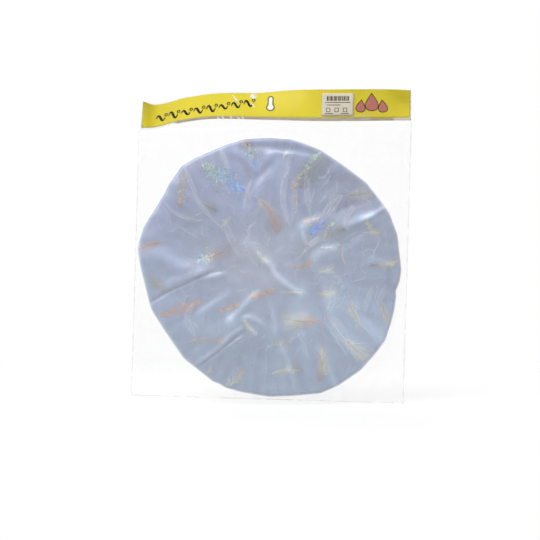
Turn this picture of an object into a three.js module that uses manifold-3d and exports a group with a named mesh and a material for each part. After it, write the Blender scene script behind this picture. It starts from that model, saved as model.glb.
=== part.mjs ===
// A satin shower cap packed flat in a clear header bag that hangs on a peg.
// Millimetres, +Z up, +X to the right, front towards -Y. The origin is the round end of the hang hole.
import * as THREE from "three";
import { mergeVertices } from "three/addons/utils/BufferGeometryUtils.js";
import Module from "manifold-3d";

const wasm = await Module();
wasm.setup();

const DEG = Math.PI / 180;

// Gap between pieces that lie against each other
const JOIN_GAP = 0.3;

// Cap: a gathered disc of satin pressed flat, its crown to the front and its mouth to the back
const RIM_RADIUS = 139;
// How far the rim is from round: each swell is a share of the rim's radius, with its crest in degrees
const RIM_LOBES = [
  { lobes: 1, swell: 0.0173, crest: 354 },
  { lobes: 2, swell: 0.0317, crest: 134 },
  { lobes: 3, swell: 0.0058, crest: 41 },
  { lobes: 5, swell: 0.0094, crest: 24 },
];
const CROWN_DEPTH = 11;
const RIM_THICKNESS = 3;
const SATIN_THICKNESS = 0.3;
const LINING_THICKNESS = 0.2;
// A layer stops this many times its own inset short of the rim, where the cloth folds back
const RIM_TUCK = 3;
// Radial folds in the crown, by the angle of the rim where each one starts; depth is a share of the
// crown's depth, and run a share of the rim's radius
const CREASES = [
  { angle: 27, spread: 9, depth: 0.2, run: 0.32 },
  { angle: 82, spread: 8, depth: 0.145, run: 0.29 },
  { angle: 135, spread: 9, depth: 0.165, run: 0.36 },
  { angle: 191, spread: 10, depth: 0.27, run: 0.52 },
  { angle: 227, spread: 10, depth: 0.27, run: 0.56 },
  { angle: 285, spread: 8, depth: 0.165, run: 0.32 },
  { angle: 345, spread: 9, depth: 0.2, run: 0.36 },
];
const PLEATS = 24;
const PLEAT_DEPTH = 2.4;

// Mouth of the cap: a hem turned over a flat elastic
const MOUTH_RADIUS = 50;
const HEM_CLOTH = 0.3;
const HEM_EASE = 1.4;
const ELASTIC_WIDTH = 6;
const ELASTIC_THICKNESS = 0.8;
const THREAD_DIAMETER = 0.5;
const STITCH_INSET = 1.0;

// Pouch of clear film round the cap
const FILM = 0.15;
const CAP_BACK_CLEARANCE = 0.9;
const CAP_FRONT_CLEARANCE = 1.2;
const LEFT_ROOM = 3;
const RIGHT_ROOM = 8;
const BOTTOM_ROOM = 3;
const HEADROOM = 17.5;
const WELD_WIDTH = 1.2;
const WELD_THICKNESS = 0.6;
const FOLD_HEIGHT = 1.2;
const SHOULDER = 0.6;
const PILLOW_POWER = 3;
// The cap's centre lies this far to the right of the hang hole
const CAP_SHIFT = 3;

// Closing lip along the top of the front film
const MOUTH_DROP = 3;
const LIP_HEIGHT = 11;
const LIP_INSET = 38;
const ADHESIVE_HEIGHT = 6;
const ADHESIVE_THICKNESS = 0.15;
const ADHESIVE_INSET = 5;

// Header: a printed card between two films, above a welded strip
const HEADER_HEIGHT = 32.6;
const CARD_THICKNESS = 0.4;
const CARD_MARGIN = 0.8;
const SEAL_HEIGHT = 3;
const SEAL_THICKNESS = 0.4;
const LABEL_WIDTH = 34;
const LABEL_HEIGHT = 24;
const LABEL_RISE = 3.5;
const LABEL_THICKNESS = 0.2;
const LABEL_START = 55;
// How the hung header bends, from its left end at -1 to its right end at +1: the height of its lower
// edge, as a share of how far the left end drops, and how many degrees it leans back
const SEAM_DROP = 15.5;
const SEAM_RISE = [
  [-1, -1], [-0.89, -0.877], [-0.68, -0.335], [-0.46, -0.045], [-0.06, 0], [0.36, 0.032], [1, 0.258],
];
const HEADER_LEAN = [
  [-1, 17], [-0.92, 32.5], [-0.65, 33.7], [-0.37, 30], [-0.12, 26.69], [0.1, 12.6], [0.33, 1], [0.7, 0], [1, 12],
];

// Keyhole for the peg, and how far the pack swings under it because the hole is off the middle
const HOLE_RISE = 12.72;
const HOLE_RADIUS = 3.7;
const SLOT_WIDTH = 4.6;
const SLOT_RISE = 12.9;
const HANG_TILT = 1.7;

// Faces along each form
const SECTORS = 2 * PLEATS;
const CROWN_RINGS = [0.3, 0.55, 0.75, 0.88, 0.96];
const SKIRT_RINGS = [0.15, 0.4, 0.7, 1];
const FILM_COLUMNS = 6;
const FILM_ROWS = 9;
const HEADER_COLUMNS = 28;
const LIP_COLUMNS = 10;
const LABEL_COLUMNS = 6;
const ARC_SEGMENTS = 10;

// Places worked out from the sizes above
const rimReach = (x, z) => {
  let reach = 0;
  for (let i = 0; i < SECTORS; i += 1) {
    const angle = (2 * Math.PI * i) / SECTORS;
    reach = Math.max(reach, rimRadius(angle) * (x * Math.cos(angle) + z * Math.sin(angle)));
  }
  return reach;
};
const RIGHT_REACH = rimReach(1, 0);
const LEFT_REACH = rimReach(-1, 0);
const BOTTOM_REACH = rimReach(0, -1);
const CAP_X = CAP_SHIFT;
const CAP_Z = -SEAL_HEIGHT - HEADROOM - rimReach(0, 1);
const BAG_LEFT = CAP_X - LEFT_REACH - LEFT_ROOM;
const BAG_RIGHT = CAP_X + RIGHT_REACH + RIGHT_ROOM;
const BAG_WIDTH = BAG_RIGHT - BAG_LEFT;
const BAG_MIDDLE = (BAG_LEFT + BAG_RIGHT) / 2;
const BAG_BOTTOM = CAP_Z - BOTTOM_REACH - BOTTOM_ROOM;
const FILM_LEFT = BAG_LEFT + WELD_WIDTH + JOIN_GAP;
const FILM_RIGHT = BAG_RIGHT - WELD_WIDTH - JOIN_GAP;
const FILM_BOTTOM = BAG_BOTTOM + FOLD_HEIGHT + JOIN_GAP;
const HEM_WIDTH = ELASTIC_WIDTH + 2 * HEM_EASE;
const HEM_THICKNESS = ELASTIC_THICKNESS + 2 * (HEM_CLOTH + JOIN_GAP);
const SKIRT_RADIUS = MOUTH_RADIUS + HEM_WIDTH + JOIN_GAP;
const HEM_SEAT = THREAD_DIAMETER + JOIN_GAP;
const HEADER_XS = [BAG_LEFT];
for (let i = 0; i <= HEADER_COLUMNS; i += 1) {
  HEADER_XS.push(THREE.MathUtils.lerp(BAG_LEFT + CARD_MARGIN, BAG_RIGHT - CARD_MARGIN, i / HEADER_COLUMNS));
}
HEADER_XS.push(BAG_RIGHT);
const HEADER_HEIGHTS = [0, CARD_MARGIN, HEADER_HEIGHT / 2, HEADER_HEIGHT - CARD_MARGIN, HEADER_HEIGHT];

// Value of a bent edge at x, on a smooth curve through its stations
function alongHeader(stations, x) {
  const place = THREE.MathUtils.clamp((x - BAG_MIDDLE) / (BAG_WIDTH / 2), -1, 1);
  const last = stations.length - 1;
  const slope = (k) => {
    const [before, after] = [stations[Math.max(0, k - 1)], stations[Math.min(last, k + 1)]];
    return (after[1] - before[1]) / (after[0] - before[0]);
  };
  const next = Math.max(1, stations.findIndex(([at]) => at >= place));
  const [from, low] = stations[next - 1];
  const [to, high] = stations[next];
  const span = to - from;
  const t = (place - from) / span;
  const ends = low * (1 + 2 * t) * (1 - t) ** 2 + high * (3 - 2 * t) * t ** 2;
  return ends + span * (slope(next - 1) * t * (1 - t) ** 2 - slope(next) * (1 - t) * t ** 2);
}

function seamHeight(x) {
  return SEAM_DROP * alongHeader(SEAM_RISE, x);
}

// Point on the header: height is along its leaning face, back is square to that face
function headerPoint(x, height, back) {
  const lean = alongHeader(HEADER_LEAN, x) * DEG;
  const y = height * Math.sin(lean) + back * Math.cos(lean);
  const z = seamHeight(x) + height * Math.cos(lean) - back * Math.sin(lean);
  return new THREE.Vector3(x, y, z);
}

// Top edge of the back film, and the straight mouth line along the top of the front film
function backTop(x) {
  return seamHeight(x) - SEAL_HEIGHT - JOIN_GAP;
}

function mouthHeight(x) {
  const share = (x - BAG_LEFT) / BAG_WIDTH;
  return THREE.MathUtils.lerp(backTop(BAG_LEFT), backTop(BAG_RIGHT), share) - MOUTH_DROP;
}

function rimRadius(angle) {
  let share = 1;
  for (const { lobes, swell, crest } of RIM_LOBES) share += swell * Math.cos(lobes * (angle - crest * DEG));
  return RIM_RADIUS * share;
}

// Flat-topped dome: 1 at the centre, 0 at the rim
function dome(share) {
  return Math.sqrt(Math.max(0, 1 - share ** 4));
}

function creaseDepth(angle, fromRim) {
  let depth = 0;
  for (const crease of CREASES) {
    const away = Math.atan2(Math.sin(angle - crease.angle * DEG), Math.cos(angle - crease.angle * DEG)) / DEG;
    const across = Math.max(0, 1 - (away / crease.spread) ** 2);
    const share = THREE.MathUtils.clamp(fromRim / (RIM_RADIUS * crease.run), 0, 1);
    depth += CROWN_DEPTH * crease.depth * across * Math.sin(Math.PI * share);
  }
  return depth;
}

function pleatDepth(angle) {
  return (PLEAT_DEPTH * (1 - Math.cos(PLEATS * angle))) / 2;
}

// Points of one layer of the cap, inset from its outer face
function capRim(angle, inset) {
  return rimRadius(angle) - RIM_TUCK * inset;
}

function capPoint(angle, radius, y) {
  return new THREE.Vector3(CAP_X + radius * Math.cos(angle), y, CAP_Z + radius * Math.sin(angle));
}

function crownPoint(angle, share, inset) {
  const rim = capRim(angle, inset);
  const rise = (CROWN_DEPTH - RIM_THICKNESS / 2 - inset) * dome(share);
  const crease = creaseDepth(angle, rim * (1 - share));
  return capPoint(angle, rim * share, -CAP_BACK_CLEARANCE - RIM_THICKNESS / 2 - rise + crease);
}

function skirtPoint(angle, share, inset) {
  const rim = capRim(angle, inset);
  const radius = THREE.MathUtils.lerp(rim, SKIRT_RADIUS, share);
  const curl = (RIM_THICKNESS / 2 - inset) * (1 - dome(radius / rim));
  return capPoint(angle, radius, -CAP_BACK_CLEARANCE - inset - curl - pleatDepth(angle) * share);
}

// Depth of the front film in front of the back film: a pillow round the cap's lower half and,
// above the cap's middle, one section all the way up so that the cap can be drawn out of the mouth
function pouchDepth(x, z) {
  const across = Math.abs(x - CAP_X) / (x < CAP_X ? LEFT_REACH : RIGHT_REACH);
  const below = Math.max(0, CAP_Z - z) / BOTTOM_REACH;
  const share = Math.min(1, (across ** PILLOW_POWER + below ** PILLOW_POWER) ** (1 / PILLOW_POWER));
  const rise = (CROWN_DEPTH - RIM_THICKNESS / 2) * dome(share);
  const full = CAP_BACK_CLEARANCE + RIM_THICKNESS / 2 + rise + CAP_FRONT_CLEARANCE;
  const toEdge = Math.min(x - FILM_LEFT, FILM_RIGHT - x, z - FILM_BOTTOM);
  return THREE.MathUtils.lerp(JOIN_GAP, full, THREE.MathUtils.clamp(toEdge / SHOULDER, 0, 1));
}

function meshOf(points, triangles) {
  const geometry = new THREE.BufferGeometry().setFromPoints(points);
  geometry.setIndex(triangles);
  return geometry;
}

// Thin sheet between a front and a back grid of points; place(column, row, side) gives each point
function sheet(columns, rows, place) {
  const points = [];
  const triangles = [];
  const across = columns + 1;
  const layer = across * (rows + 1);
  for (const side of [0, 1]) {
    for (let row = 0; row <= rows; row += 1) {
      for (let column = 0; column <= columns; column += 1) points.push(place(column, row, side));
    }
  }
  const at = (column, row) => row * across + column;
  for (let row = 0; row < rows; row += 1) {
    for (let column = 0; column < columns; column += 1) {
      const [a, b] = [at(column, row), at(column + 1, row)];
      const [c, d] = [at(column + 1, row + 1), at(column, row + 1)];
      triangles.push(a, b, c, a, c, d);
      triangles.push(layer + a, layer + c, layer + b, layer + a, layer + d, layer + c);
    }
  }
  const border = [];
  for (let column = 0; column < columns; column += 1) border.push(at(column, 0));
  for (let row = 0; row < rows; row += 1) border.push(at(columns, row));
  for (let column = columns; column > 0; column -= 1) border.push(at(column, rows));
  for (let row = rows; row > 0; row -= 1) border.push(at(0, row));
  border.forEach((here, i) => {
    const next = border[(i + 1) % border.length];
    triangles.push(next, here, layer + here, next, layer + here, layer + next);
  });
  return meshOf(points, triangles);
}

// Closed skin of rings between two poles; ring(angle) gives each ring's points. The second half of
// the rings runs back over the first, and its faces split the same way so that thin layers nest.
function spun(firstPole, rings, lastPole) {
  const points = [firstPole];
  const triangles = [];
  for (const ring of rings) {
    for (let i = 0; i < SECTORS; i += 1) points.push(ring((2 * Math.PI * i) / SECTORS));
  }
  points.push(lastPole);
  const at = (ring, i) => 1 + ring * SECTORS + (i % SECTORS);
  for (let i = 0; i < SECTORS; i += 1) {
    triangles.push(0, at(0, i), at(0, i + 1));
    for (let ring = 0; ring < rings.length - 1; ring += 1) {
      const [a, b] = [at(ring, i), at(ring + 1, i)];
      const [c, d] = [at(ring + 1, i + 1), at(ring, i + 1)];
      if (ring < rings.length / 2) triangles.push(a, b, c, a, c, d);
      else triangles.push(a, b, d, b, c, d);
    }
    triangles.push(points.length - 1, at(rings.length - 1, i + 1), at(rings.length - 1, i));
  }
  return meshOf(points, triangles);
}

// Closed ring round the cap's mouth; the section lists radius and depth from the hem's back face,
// and rides on the pleats
function mouthRing(section) {
  const points = [];
  const triangles = [];
  const count = section.length;
  for (let i = 0; i < SECTORS; i += 1) {
    const angle = (2 * Math.PI * i) / SECTORS;
    for (const [radius, depth] of section) {
      points.push(capPoint(angle, radius, -CAP_BACK_CLEARANCE - HEM_SEAT - depth - pleatDepth(angle)));
    }
  }
  const at = (i, k) => (i % SECTORS) * count + (k % count);
  for (let i = 0; i < SECTORS; i += 1) {
    for (let k = 0; k < count; k += 1) {
      triangles.push(at(i, k), at(i + 1, k), at(i + 1, k + 1), at(i, k), at(i + 1, k + 1), at(i, k + 1));
    }
  }
  return meshOf(points, triangles);
}

function solidOf(geometry) {
  const bare = geometry.clone();
  bare.deleteAttribute("normal");
  bare.deleteAttribute("uv");
  const merged = mergeVertices(bare);
  const vertProperties = Float32Array.from(merged.attributes.position.array);
  const triVerts = Uint32Array.from(merged.index.array);
  return new wasm.Manifold(new wasm.Mesh({ numProp: 3, vertProperties, triVerts }));
}

function cutFrom(geometry, tool) {
  const mesh = solidOf(geometry).subtract(solidOf(tool)).getMesh();
  const result = new THREE.BufferGeometry();
  result.setAttribute("position", new THREE.BufferAttribute(mesh.vertProperties, 3));
  result.setIndex(new THREE.BufferAttribute(mesh.triVerts, 1));
  return result;
}

// Sheet of the header, from one depth to another behind its front face.
// All its layers share one grid, and the card leaves out the outermost lines of it.
function headerSheet(trim, front, back) {
  const columns = HEADER_XS.slice(trim, HEADER_XS.length - trim);
  const rows = HEADER_HEIGHTS.slice(trim, HEADER_HEIGHTS.length - trim);
  return sheet(columns.length - 1, rows.length - 1, (column, row, side) =>
    headerPoint(columns[column], rows[row], side === 0 ? front : back),
  );
}

// Keyhole punch, square to the header where the hole is
function keyhole() {
  const half = SLOT_WIDTH / 2;
  const join = Math.asin(half / HOLE_RADIUS);
  const outline = new THREE.Shape();
  outline.absarc(0, 0, HOLE_RADIUS, Math.PI / 2 + join, 2.5 * Math.PI - join, false);
  outline.absarc(0, SLOT_RISE - half, half, 0, Math.PI, false);
  const depth = HEADER_HEIGHT;
  const options = { depth, bevelEnabled: false, curveSegments: ARC_SEGMENTS };
  const punch = new THREE.ExtrudeGeometry(outline, options);
  punch.translate(0, 0, -depth / 2);
  punch.rotateX(Math.PI / 2 - alongHeader(HEADER_LEAN, 0) * DEG);
  const centre = headerPoint(0, HOLE_RISE, 0);
  return punch.translate(centre.x, centre.y, centre.z);
}

function capLayer(outer, inner) {
  const rings = [];
  for (const share of CROWN_RINGS) rings.push((angle) => crownPoint(angle, share, outer));
  rings.push((angle) => crownPoint(angle, 1, outer));
  for (const share of SKIRT_RINGS) rings.push((angle) => skirtPoint(angle, share, outer));
  for (const share of [...SKIRT_RINGS].reverse()) rings.push((angle) => skirtPoint(angle, share, inner));
  rings.push((angle) => crownPoint(angle, 1, inner));
  for (const share of [...CROWN_RINGS].reverse()) rings.push((angle) => crownPoint(angle, share, inner));
  return spun(crownPoint(0, 0, outer), rings, crownPoint(0, 0, inner));
}

// Hem folded over the elastic, open on its outer side where the stitches close it
function hemCasing() {
  const [inner, outer] = [MOUTH_RADIUS, MOUTH_RADIUS + HEM_WIDTH];
  const bend = HEM_THICKNESS / 4;
  return mouthRing([
    [outer, 0],
    [outer, HEM_CLOTH],
    [inner + bend + HEM_CLOTH, HEM_CLOTH],
    [inner + HEM_CLOTH, HEM_THICKNESS / 2],
    [inner + bend + HEM_CLOTH, HEM_THICKNESS - HEM_CLOTH],
    [outer, HEM_THICKNESS - HEM_CLOTH],
    [outer, HEM_THICKNESS],
    [inner + bend, HEM_THICKNESS],
    [inner, HEM_THICKNESS / 2],
    [inner + bend, 0],
  ]);
}

function elasticBand() {
  const inner = MOUTH_RADIUS + (HEM_WIDTH - ELASTIC_WIDTH) / 2;
  const outer = inner + ELASTIC_WIDTH;
  const back = (HEM_THICKNESS - ELASTIC_THICKNESS) / 2;
  const front = back + ELASTIC_THICKNESS;
  return mouthRing([[outer, back], [outer, front], [inner, front], [inner, back]]);
}

function hemStitching() {
  const middle = MOUTH_RADIUS + HEM_WIDTH - STITCH_INSET;
  const [inner, outer] = [middle - THREAD_DIAMETER / 2, middle + THREAD_DIAMETER / 2];
  const front = -JOIN_GAP;
  const back = front - THREAD_DIAMETER;
  return mouthRing([[outer, back], [outer, front], [inner, front], [inner, back]]);
}

function backFilm() {
  const outline = new THREE.Shape();
  outline.moveTo(FILM_LEFT, FILM_BOTTOM);
  outline.lineTo(FILM_RIGHT, FILM_BOTTOM);
  for (let column = HEADER_COLUMNS; column >= 0; column -= 1) {
    const x = THREE.MathUtils.lerp(FILM_LEFT, FILM_RIGHT, column / HEADER_COLUMNS);
    outline.lineTo(x, backTop(x));
  }
  const film = new THREE.ExtrudeGeometry(outline, { depth: FILM, bevelEnabled: false });
  return film.rotateX(Math.PI / 2).translate(0, FILM, 0);
}

function frontFilm() {
  const middle = (FILM_LEFT + FILM_RIGHT) / 2;
  const half = (FILM_RIGHT - FILM_LEFT) / 2 - SHOULDER;
  const columns = [FILM_LEFT];
  for (let i = -FILM_COLUMNS; i <= FILM_COLUMNS; i += 1) {
    columns.push(middle + half * Math.sin((Math.PI / 2) * (i / FILM_COLUMNS)));
  }
  columns.push(FILM_RIGHT);
  const rows = [0];
  for (let i = 0; i <= FILM_ROWS; i += 1) rows.push(1 - Math.cos((Math.PI / 2) * (i / FILM_ROWS)));
  return sheet(columns.length - 1, rows.length - 1, (column, row, side) => {
    const x = columns[column];
    const start = row === 0 ? FILM_BOTTOM : FILM_BOTTOM + SHOULDER;
    const z = THREE.MathUtils.lerp(start, mouthHeight(x), rows[row]);
    return new THREE.Vector3(x, -pouchDepth(x, z) - (side === 0 ? FILM : 0), z);
  });
}

// Strip that follows the mouth of the front film, from one height above it to another
function lipStrip(inset, low, high, behind, thickness) {
  return sheet(LIP_COLUMNS, 1, (column, row, side) => {
    const x = THREE.MathUtils.lerp(FILM_LEFT + inset, FILM_RIGHT - inset, column / LIP_COLUMNS);
    const y = -pouchDepth(x, CAP_Z) + behind - (side === 0 ? thickness : 0);
    return new THREE.Vector3(x, y, mouthHeight(x) + (row === 0 ? low : high));
  });
}

function headerSeal() {
  return sheet(HEADER_COLUMNS, 1, (column, row, side) => {
    const x = THREE.MathUtils.lerp(BAG_LEFT, BAG_RIGHT, column / HEADER_COLUMNS);
    const z = seamHeight(x) - (row === 0 ? SEAL_HEIGHT : JOIN_GAP);
    return new THREE.Vector3(x, side === 0 ? 0 : SEAL_THICKNESS, z);
  });
}

function label() {
  return sheet(LABEL_COLUMNS, 1, (column, row, side) => {
    const x = LABEL_START + LABEL_WIDTH * (column / LABEL_COLUMNS);
    const height = LABEL_RISE + (row === 0 ? 0 : LABEL_HEIGHT);
    return headerPoint(x, height, -JOIN_GAP - (side === 0 ? LABEL_THICKNESS : 0));
  });
}

function sideWeld(left) {
  const bottom = BAG_BOTTOM + FOLD_HEIGHT + JOIN_GAP;
  const height = backTop(left) - bottom;
  const weld = new THREE.BoxGeometry(WELD_WIDTH, WELD_THICKNESS, height);
  return weld.translate(left + WELD_WIDTH / 2, FILM - WELD_THICKNESS / 2, bottom + height / 2);
}

function bottomFold() {
  const fold = new THREE.BoxGeometry(BAG_WIDTH, WELD_THICKNESS, FOLD_HEIGHT);
  return fold.translate(BAG_MIDDLE, FILM - WELD_THICKNESS / 2, BAG_BOTTOM + FOLD_HEIGHT / 2);
}

function finish(color, roughness, opacity = 1) {
  const transparent = opacity < 1;
  return new THREE.MeshStandardMaterial({ color, roughness, metalness: 0, opacity, transparent });
}

function piece(name, geometry, material) {
  const mesh = new THREE.Mesh(geometry, material);
  mesh.name = name;
  return mesh;
}

const CLEAR_FILM = finish(0xffffff, 0.15, 0.2);
const punch = keyhole();
const cardFront = FILM + JOIN_GAP;
const cardBack = cardFront + CARD_THICKNESS;
const headerBack = cardBack + JOIN_GAP;
const liningOuter = SATIN_THICKNESS + JOIN_GAP;
const lipTop = LIP_HEIGHT - JOIN_GAP;

const header = new THREE.Group();
const headerFront = cutFrom(headerSheet(0, 0, FILM), punch);
const headerCard = cutFrom(headerSheet(1, cardFront, cardBack), punch);
const headerRear = cutFrom(headerSheet(0, headerBack, headerBack + FILM), punch);
header.add(piece("header_front_film", headerFront, CLEAR_FILM.clone()));
header.add(piece("header_card", headerCard, finish(0xe0d054, 0.6)));
header.add(piece("header_back_film", headerRear, CLEAR_FILM.clone()));
header.add(piece("header_seal", headerSeal(), finish(0xa5967a, 0.4)));
header.add(piece("price_label", label(), finish(0xe3dac2, 0.7)));

const pouch = new THREE.Group();
pouch.add(piece("bag_back_film", backFilm(), CLEAR_FILM.clone()));
pouch.add(piece("bag_front_film", frontFilm(), CLEAR_FILM.clone()));
pouch.add(piece("left_side_weld", sideWeld(BAG_LEFT), finish(0xd9dde2, 0.3)));
pouch.add(piece("right_side_weld", sideWeld(BAG_RIGHT - WELD_WIDTH), finish(0xd9dde2, 0.3)));
pouch.add(piece("bottom_fold", bottomFold(), finish(0xd9dde2, 0.3)));

const lip = new THREE.Group();
const lipFilm = lipStrip(LIP_INSET, JOIN_GAP, LIP_HEIGHT, 0, FILM);
const stickyInset = LIP_INSET + ADHESIVE_INSET;
const stickyBack = JOIN_GAP + ADHESIVE_THICKNESS;
const sticky = lipStrip(stickyInset, lipTop - ADHESIVE_HEIGHT, lipTop, stickyBack, ADHESIVE_THICKNESS);
lip.add(piece("closure_lip", lipFilm, CLEAR_FILM.clone()));
lip.add(piece("adhesive_strip", sticky, finish(0xf2efe6, 0.4, 0.5)));

const cap = new THREE.Group();
cap.add(piece("cap_satin", capLayer(0, SATIN_THICKNESS), finish(0xaab4c8, 0.35)));
const lining = capLayer(liningOuter, liningOuter + LINING_THICKNESS);
cap.add(piece("cap_lining", lining, finish(0xe4e8ee, 0.5)));
cap.add(piece("hem_casing", hemCasing(), finish(0xaab4c8, 0.4)));
cap.add(piece("elastic_band", elasticBand(), finish(0xf4f4f2, 0.8)));
cap.add(piece("hem_stitching", hemStitching(), finish(0xc3cad8, 0.7)));

// The pack hangs by its hole, a little askew
const contents = new THREE.Group();
contents.add(header, pouch, lip, cap);
contents.position.copy(headerPoint(0, HOLE_RISE, 0)).negate();
const pack = new THREE.Group();
pack.add(contents);
pack.rotation.y = HANG_TILT * DEG;

export default pack;
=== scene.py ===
import math
import random
from itertools import cycle
import bpy
import numpy as np
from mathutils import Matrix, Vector
from mathutils.geometry import delaunay_2d_cdt


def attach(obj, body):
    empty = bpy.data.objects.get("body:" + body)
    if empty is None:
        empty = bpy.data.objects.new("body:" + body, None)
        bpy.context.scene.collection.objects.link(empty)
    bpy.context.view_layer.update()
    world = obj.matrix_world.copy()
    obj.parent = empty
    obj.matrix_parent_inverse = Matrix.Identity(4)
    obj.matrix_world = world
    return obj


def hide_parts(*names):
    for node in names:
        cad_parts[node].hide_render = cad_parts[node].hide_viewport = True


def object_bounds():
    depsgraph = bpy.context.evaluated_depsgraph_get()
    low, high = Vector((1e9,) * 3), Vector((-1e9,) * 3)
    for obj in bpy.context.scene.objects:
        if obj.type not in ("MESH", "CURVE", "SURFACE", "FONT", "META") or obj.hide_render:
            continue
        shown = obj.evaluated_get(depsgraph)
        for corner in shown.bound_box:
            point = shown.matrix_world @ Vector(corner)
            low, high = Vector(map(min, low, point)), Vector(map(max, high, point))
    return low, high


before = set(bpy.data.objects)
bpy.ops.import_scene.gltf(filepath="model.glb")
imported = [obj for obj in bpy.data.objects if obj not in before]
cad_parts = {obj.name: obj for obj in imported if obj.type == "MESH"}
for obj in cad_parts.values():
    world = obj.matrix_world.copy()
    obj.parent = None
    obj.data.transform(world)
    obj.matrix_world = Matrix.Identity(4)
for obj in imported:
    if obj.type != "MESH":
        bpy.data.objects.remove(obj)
cad_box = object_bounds()

MM = 0.001
TAU = 2 * math.pi
draw = random.Random(11)
scene = bpy.context.scene

# Sizes are millimetres of the pack before it swings on its peg
TILT = math.radians(1.7)
FILM, GAP = 0.15, 0.3

# Cap: how far its rim reaches from its middle, its depth, and the hem round its mouth
CAP_X = 3.0
LEFT_REACH, RIGHT_REACH, TOP_REACH, BOTTOM_REACH = 138.266, 140.145, 139.358, 139.146
CROWN_DEPTH, RIM_THICKNESS = 11.0, 3.0
PLEATS = 24
MOUTH_RADIUS, HEM_WIDTH, HEM_THICKNESS, HEM_CLOTH = 50.0, 8.8, 2.0, 0.3
HEM_BEND, HEM_SEAT, HEM_SWAY = 0.9, 0.8, 0.5
SKIRT_RADIUS = MOUTH_RADIUS + HEM_WIDTH + GAP
LINING_INSET, LINING_THICKNESS = 1.0, 0.2

# Bag: room round the cap, how far the pouch spreads past the header, and how the cap lies in it
LEFT_ROOM, RIGHT_ROOM, BOTTOM_ROOM, HEADROOM = 3.0, 8.0, 3.0, 20.5
LEFT_SPREAD, RIGHT_SPREAD, LEFT_SLACK = 2.1, 1.0, 1.5
BACK_CLEARANCE, FRONT_CLEARANCE = 0.9, 1.2
CAP_STANDOFF, FILM_ROOM, RIM_ROOM = 0.65, 0.5, 1.2
WELD_WIDTH, WELD_THICKNESS, FOLD_HEIGHT = 1.2, 0.6, 1.2
LIP_INSET, LIP_HEIGHT, MOUTH_DROP = 39.5, 11.0, 3.8
TACK_INSET, TACK_HEIGHT, TACK_BEHIND = 5.0, 6.0, 0.4
CAP_Z = -HEADROOM - TOP_REACH
BAG_LEFT, BAG_RIGHT = CAP_X - LEFT_REACH - LEFT_ROOM, CAP_X + RIGHT_REACH + RIGHT_ROOM
BAG_BOTTOM = CAP_Z - BOTTOM_REACH - BOTTOM_ROOM
BAG_MIDDLE, BAG_HALF = (BAG_LEFT + BAG_RIGHT) / 2, (BAG_RIGHT - BAG_LEFT) / 2
POUCH_LEFT, POUCH_RIGHT = BAG_LEFT - LEFT_SPREAD, BAG_RIGHT + RIGHT_SPREAD
FILM_LEFT, FILM_RIGHT = POUCH_LEFT + WELD_WIDTH + GAP, POUCH_RIGHT - WELD_WIDTH - GAP
FILM_BOTTOM = BAG_BOTTOM + FOLD_HEIGHT + GAP

# Header: layers from its front face, the keyhole and the sticker
HEADER_HEIGHT, SEAL_HEIGHT = 32.6, 2.2
CARD_MARGIN, CARD_THICKNESS = 0.8, 0.4
CARD_FRONT = FILM + GAP
HEADER_BACK = CARD_FRONT + CARD_THICKNESS + GAP
PRINT_BACK, PRINT_LAYER = CARD_FRONT - 0.06, 0.05
HOLE_RISE, HOLE_RADIUS, SLOT_WIDTH, SLOT_RISE = 12.72, 3.7, 4.6, 12.9
LABEL_START, LABEL_WIDTH, LABEL_RISE, LABEL_HEIGHT, LABEL_THICKNESS = 55.0, 34.0, 3.5, 24.0, 0.2

# How the header bends from its left end at -1 to its right end at 1: the height of its lower edge,
# as a share of the drop of its left end, and how many degrees it leans back
SEAM_DROP = 15.5
SEAM_RISE = [(-1, -1), (-0.89, -0.877), (-0.68, -0.335), (-0.46, -0.045), (-0.06, 0), (0.36, 0.032),
             (1, 0.258)]
HEADER_LEAN = [(-1, 17), (-0.92, 32.5), (-0.65, 33.7), (-0.37, 30), (-0.12, 26.69), (0.1, 12.6), (0.33, 1),
               (0.7, 0), (1, 12)]


def along_header(stations, x):
    """Value of a bent edge at x, on a smooth curve through its stations"""
    place = np.clip((np.asarray(x, float) - BAG_MIDDLE) / BAG_HALF, -1, 1)
    at, values = np.array(stations, float).T
    before, after = np.r_[0, 0:len(at) - 1], np.r_[1:len(at), len(at) - 1]
    slopes = (values[after] - values[before]) / (at[after] - at[before])
    k = np.clip(np.searchsorted(at, place) - 1, 0, len(at) - 2)
    span = at[k + 1] - at[k]
    t = (place - at[k]) / span
    ends = values[k] * (1 + 2 * t) * (1 - t) ** 2 + values[k + 1] * (3 - 2 * t) * t ** 2
    return ends + span * (slopes[k] * t * (1 - t) ** 2 - slopes[k + 1] * (1 - t) * t ** 2)


def seam(x):
    return SEAM_DROP * along_header(SEAM_RISE, x)


def header_lean(x):
    return np.radians(along_header(HEADER_LEAN, x))


# Depth and height of the round end of the keyhole, which is the origin of the frame
HOLE_Y, HOLE_Z = 4.8916, 11.7418
BACK_PLANE = -HOLE_Y - BACK_CLEARANCE - CAP_STANDOFF

# Places on the face are given in face units: right and down from the upper left of a frame of 540 units
UNIT = 1.07
ORIGIN_U, ORIGIN_V = 270.4, 106.6
FRAME_UNITS = 540
COS, SIN = math.cos(TILT), math.sin(TILT)


def hang(x, y, z):
    """Points of the pack, in millimetres before it swings, as points of the frame in metres"""
    x, y, z = np.broadcast_arrays(x, y, z)
    dz = z - HOLE_Z
    return np.stack([x * COS + dz * SIN, y - HOLE_Y, dz * COS - x * SIN], -1) * MM


def unhang(x, z):
    """Millimetres of the frame as millimetres of the pack before it swings"""
    return x * COS - z * SIN, x * SIN + z * COS + HOLE_Z


def face_mm(u, v):
    """Face units as millimetres of the frame"""
    return (u - ORIGIN_U) * UNIT, (ORIGIN_V - v) * UNIT


def face_units(x, z):
    """Millimetres of the frame as face units"""
    return ORIGIN_U + x / UNIT, ORIGIN_V - z / UNIT


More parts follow.
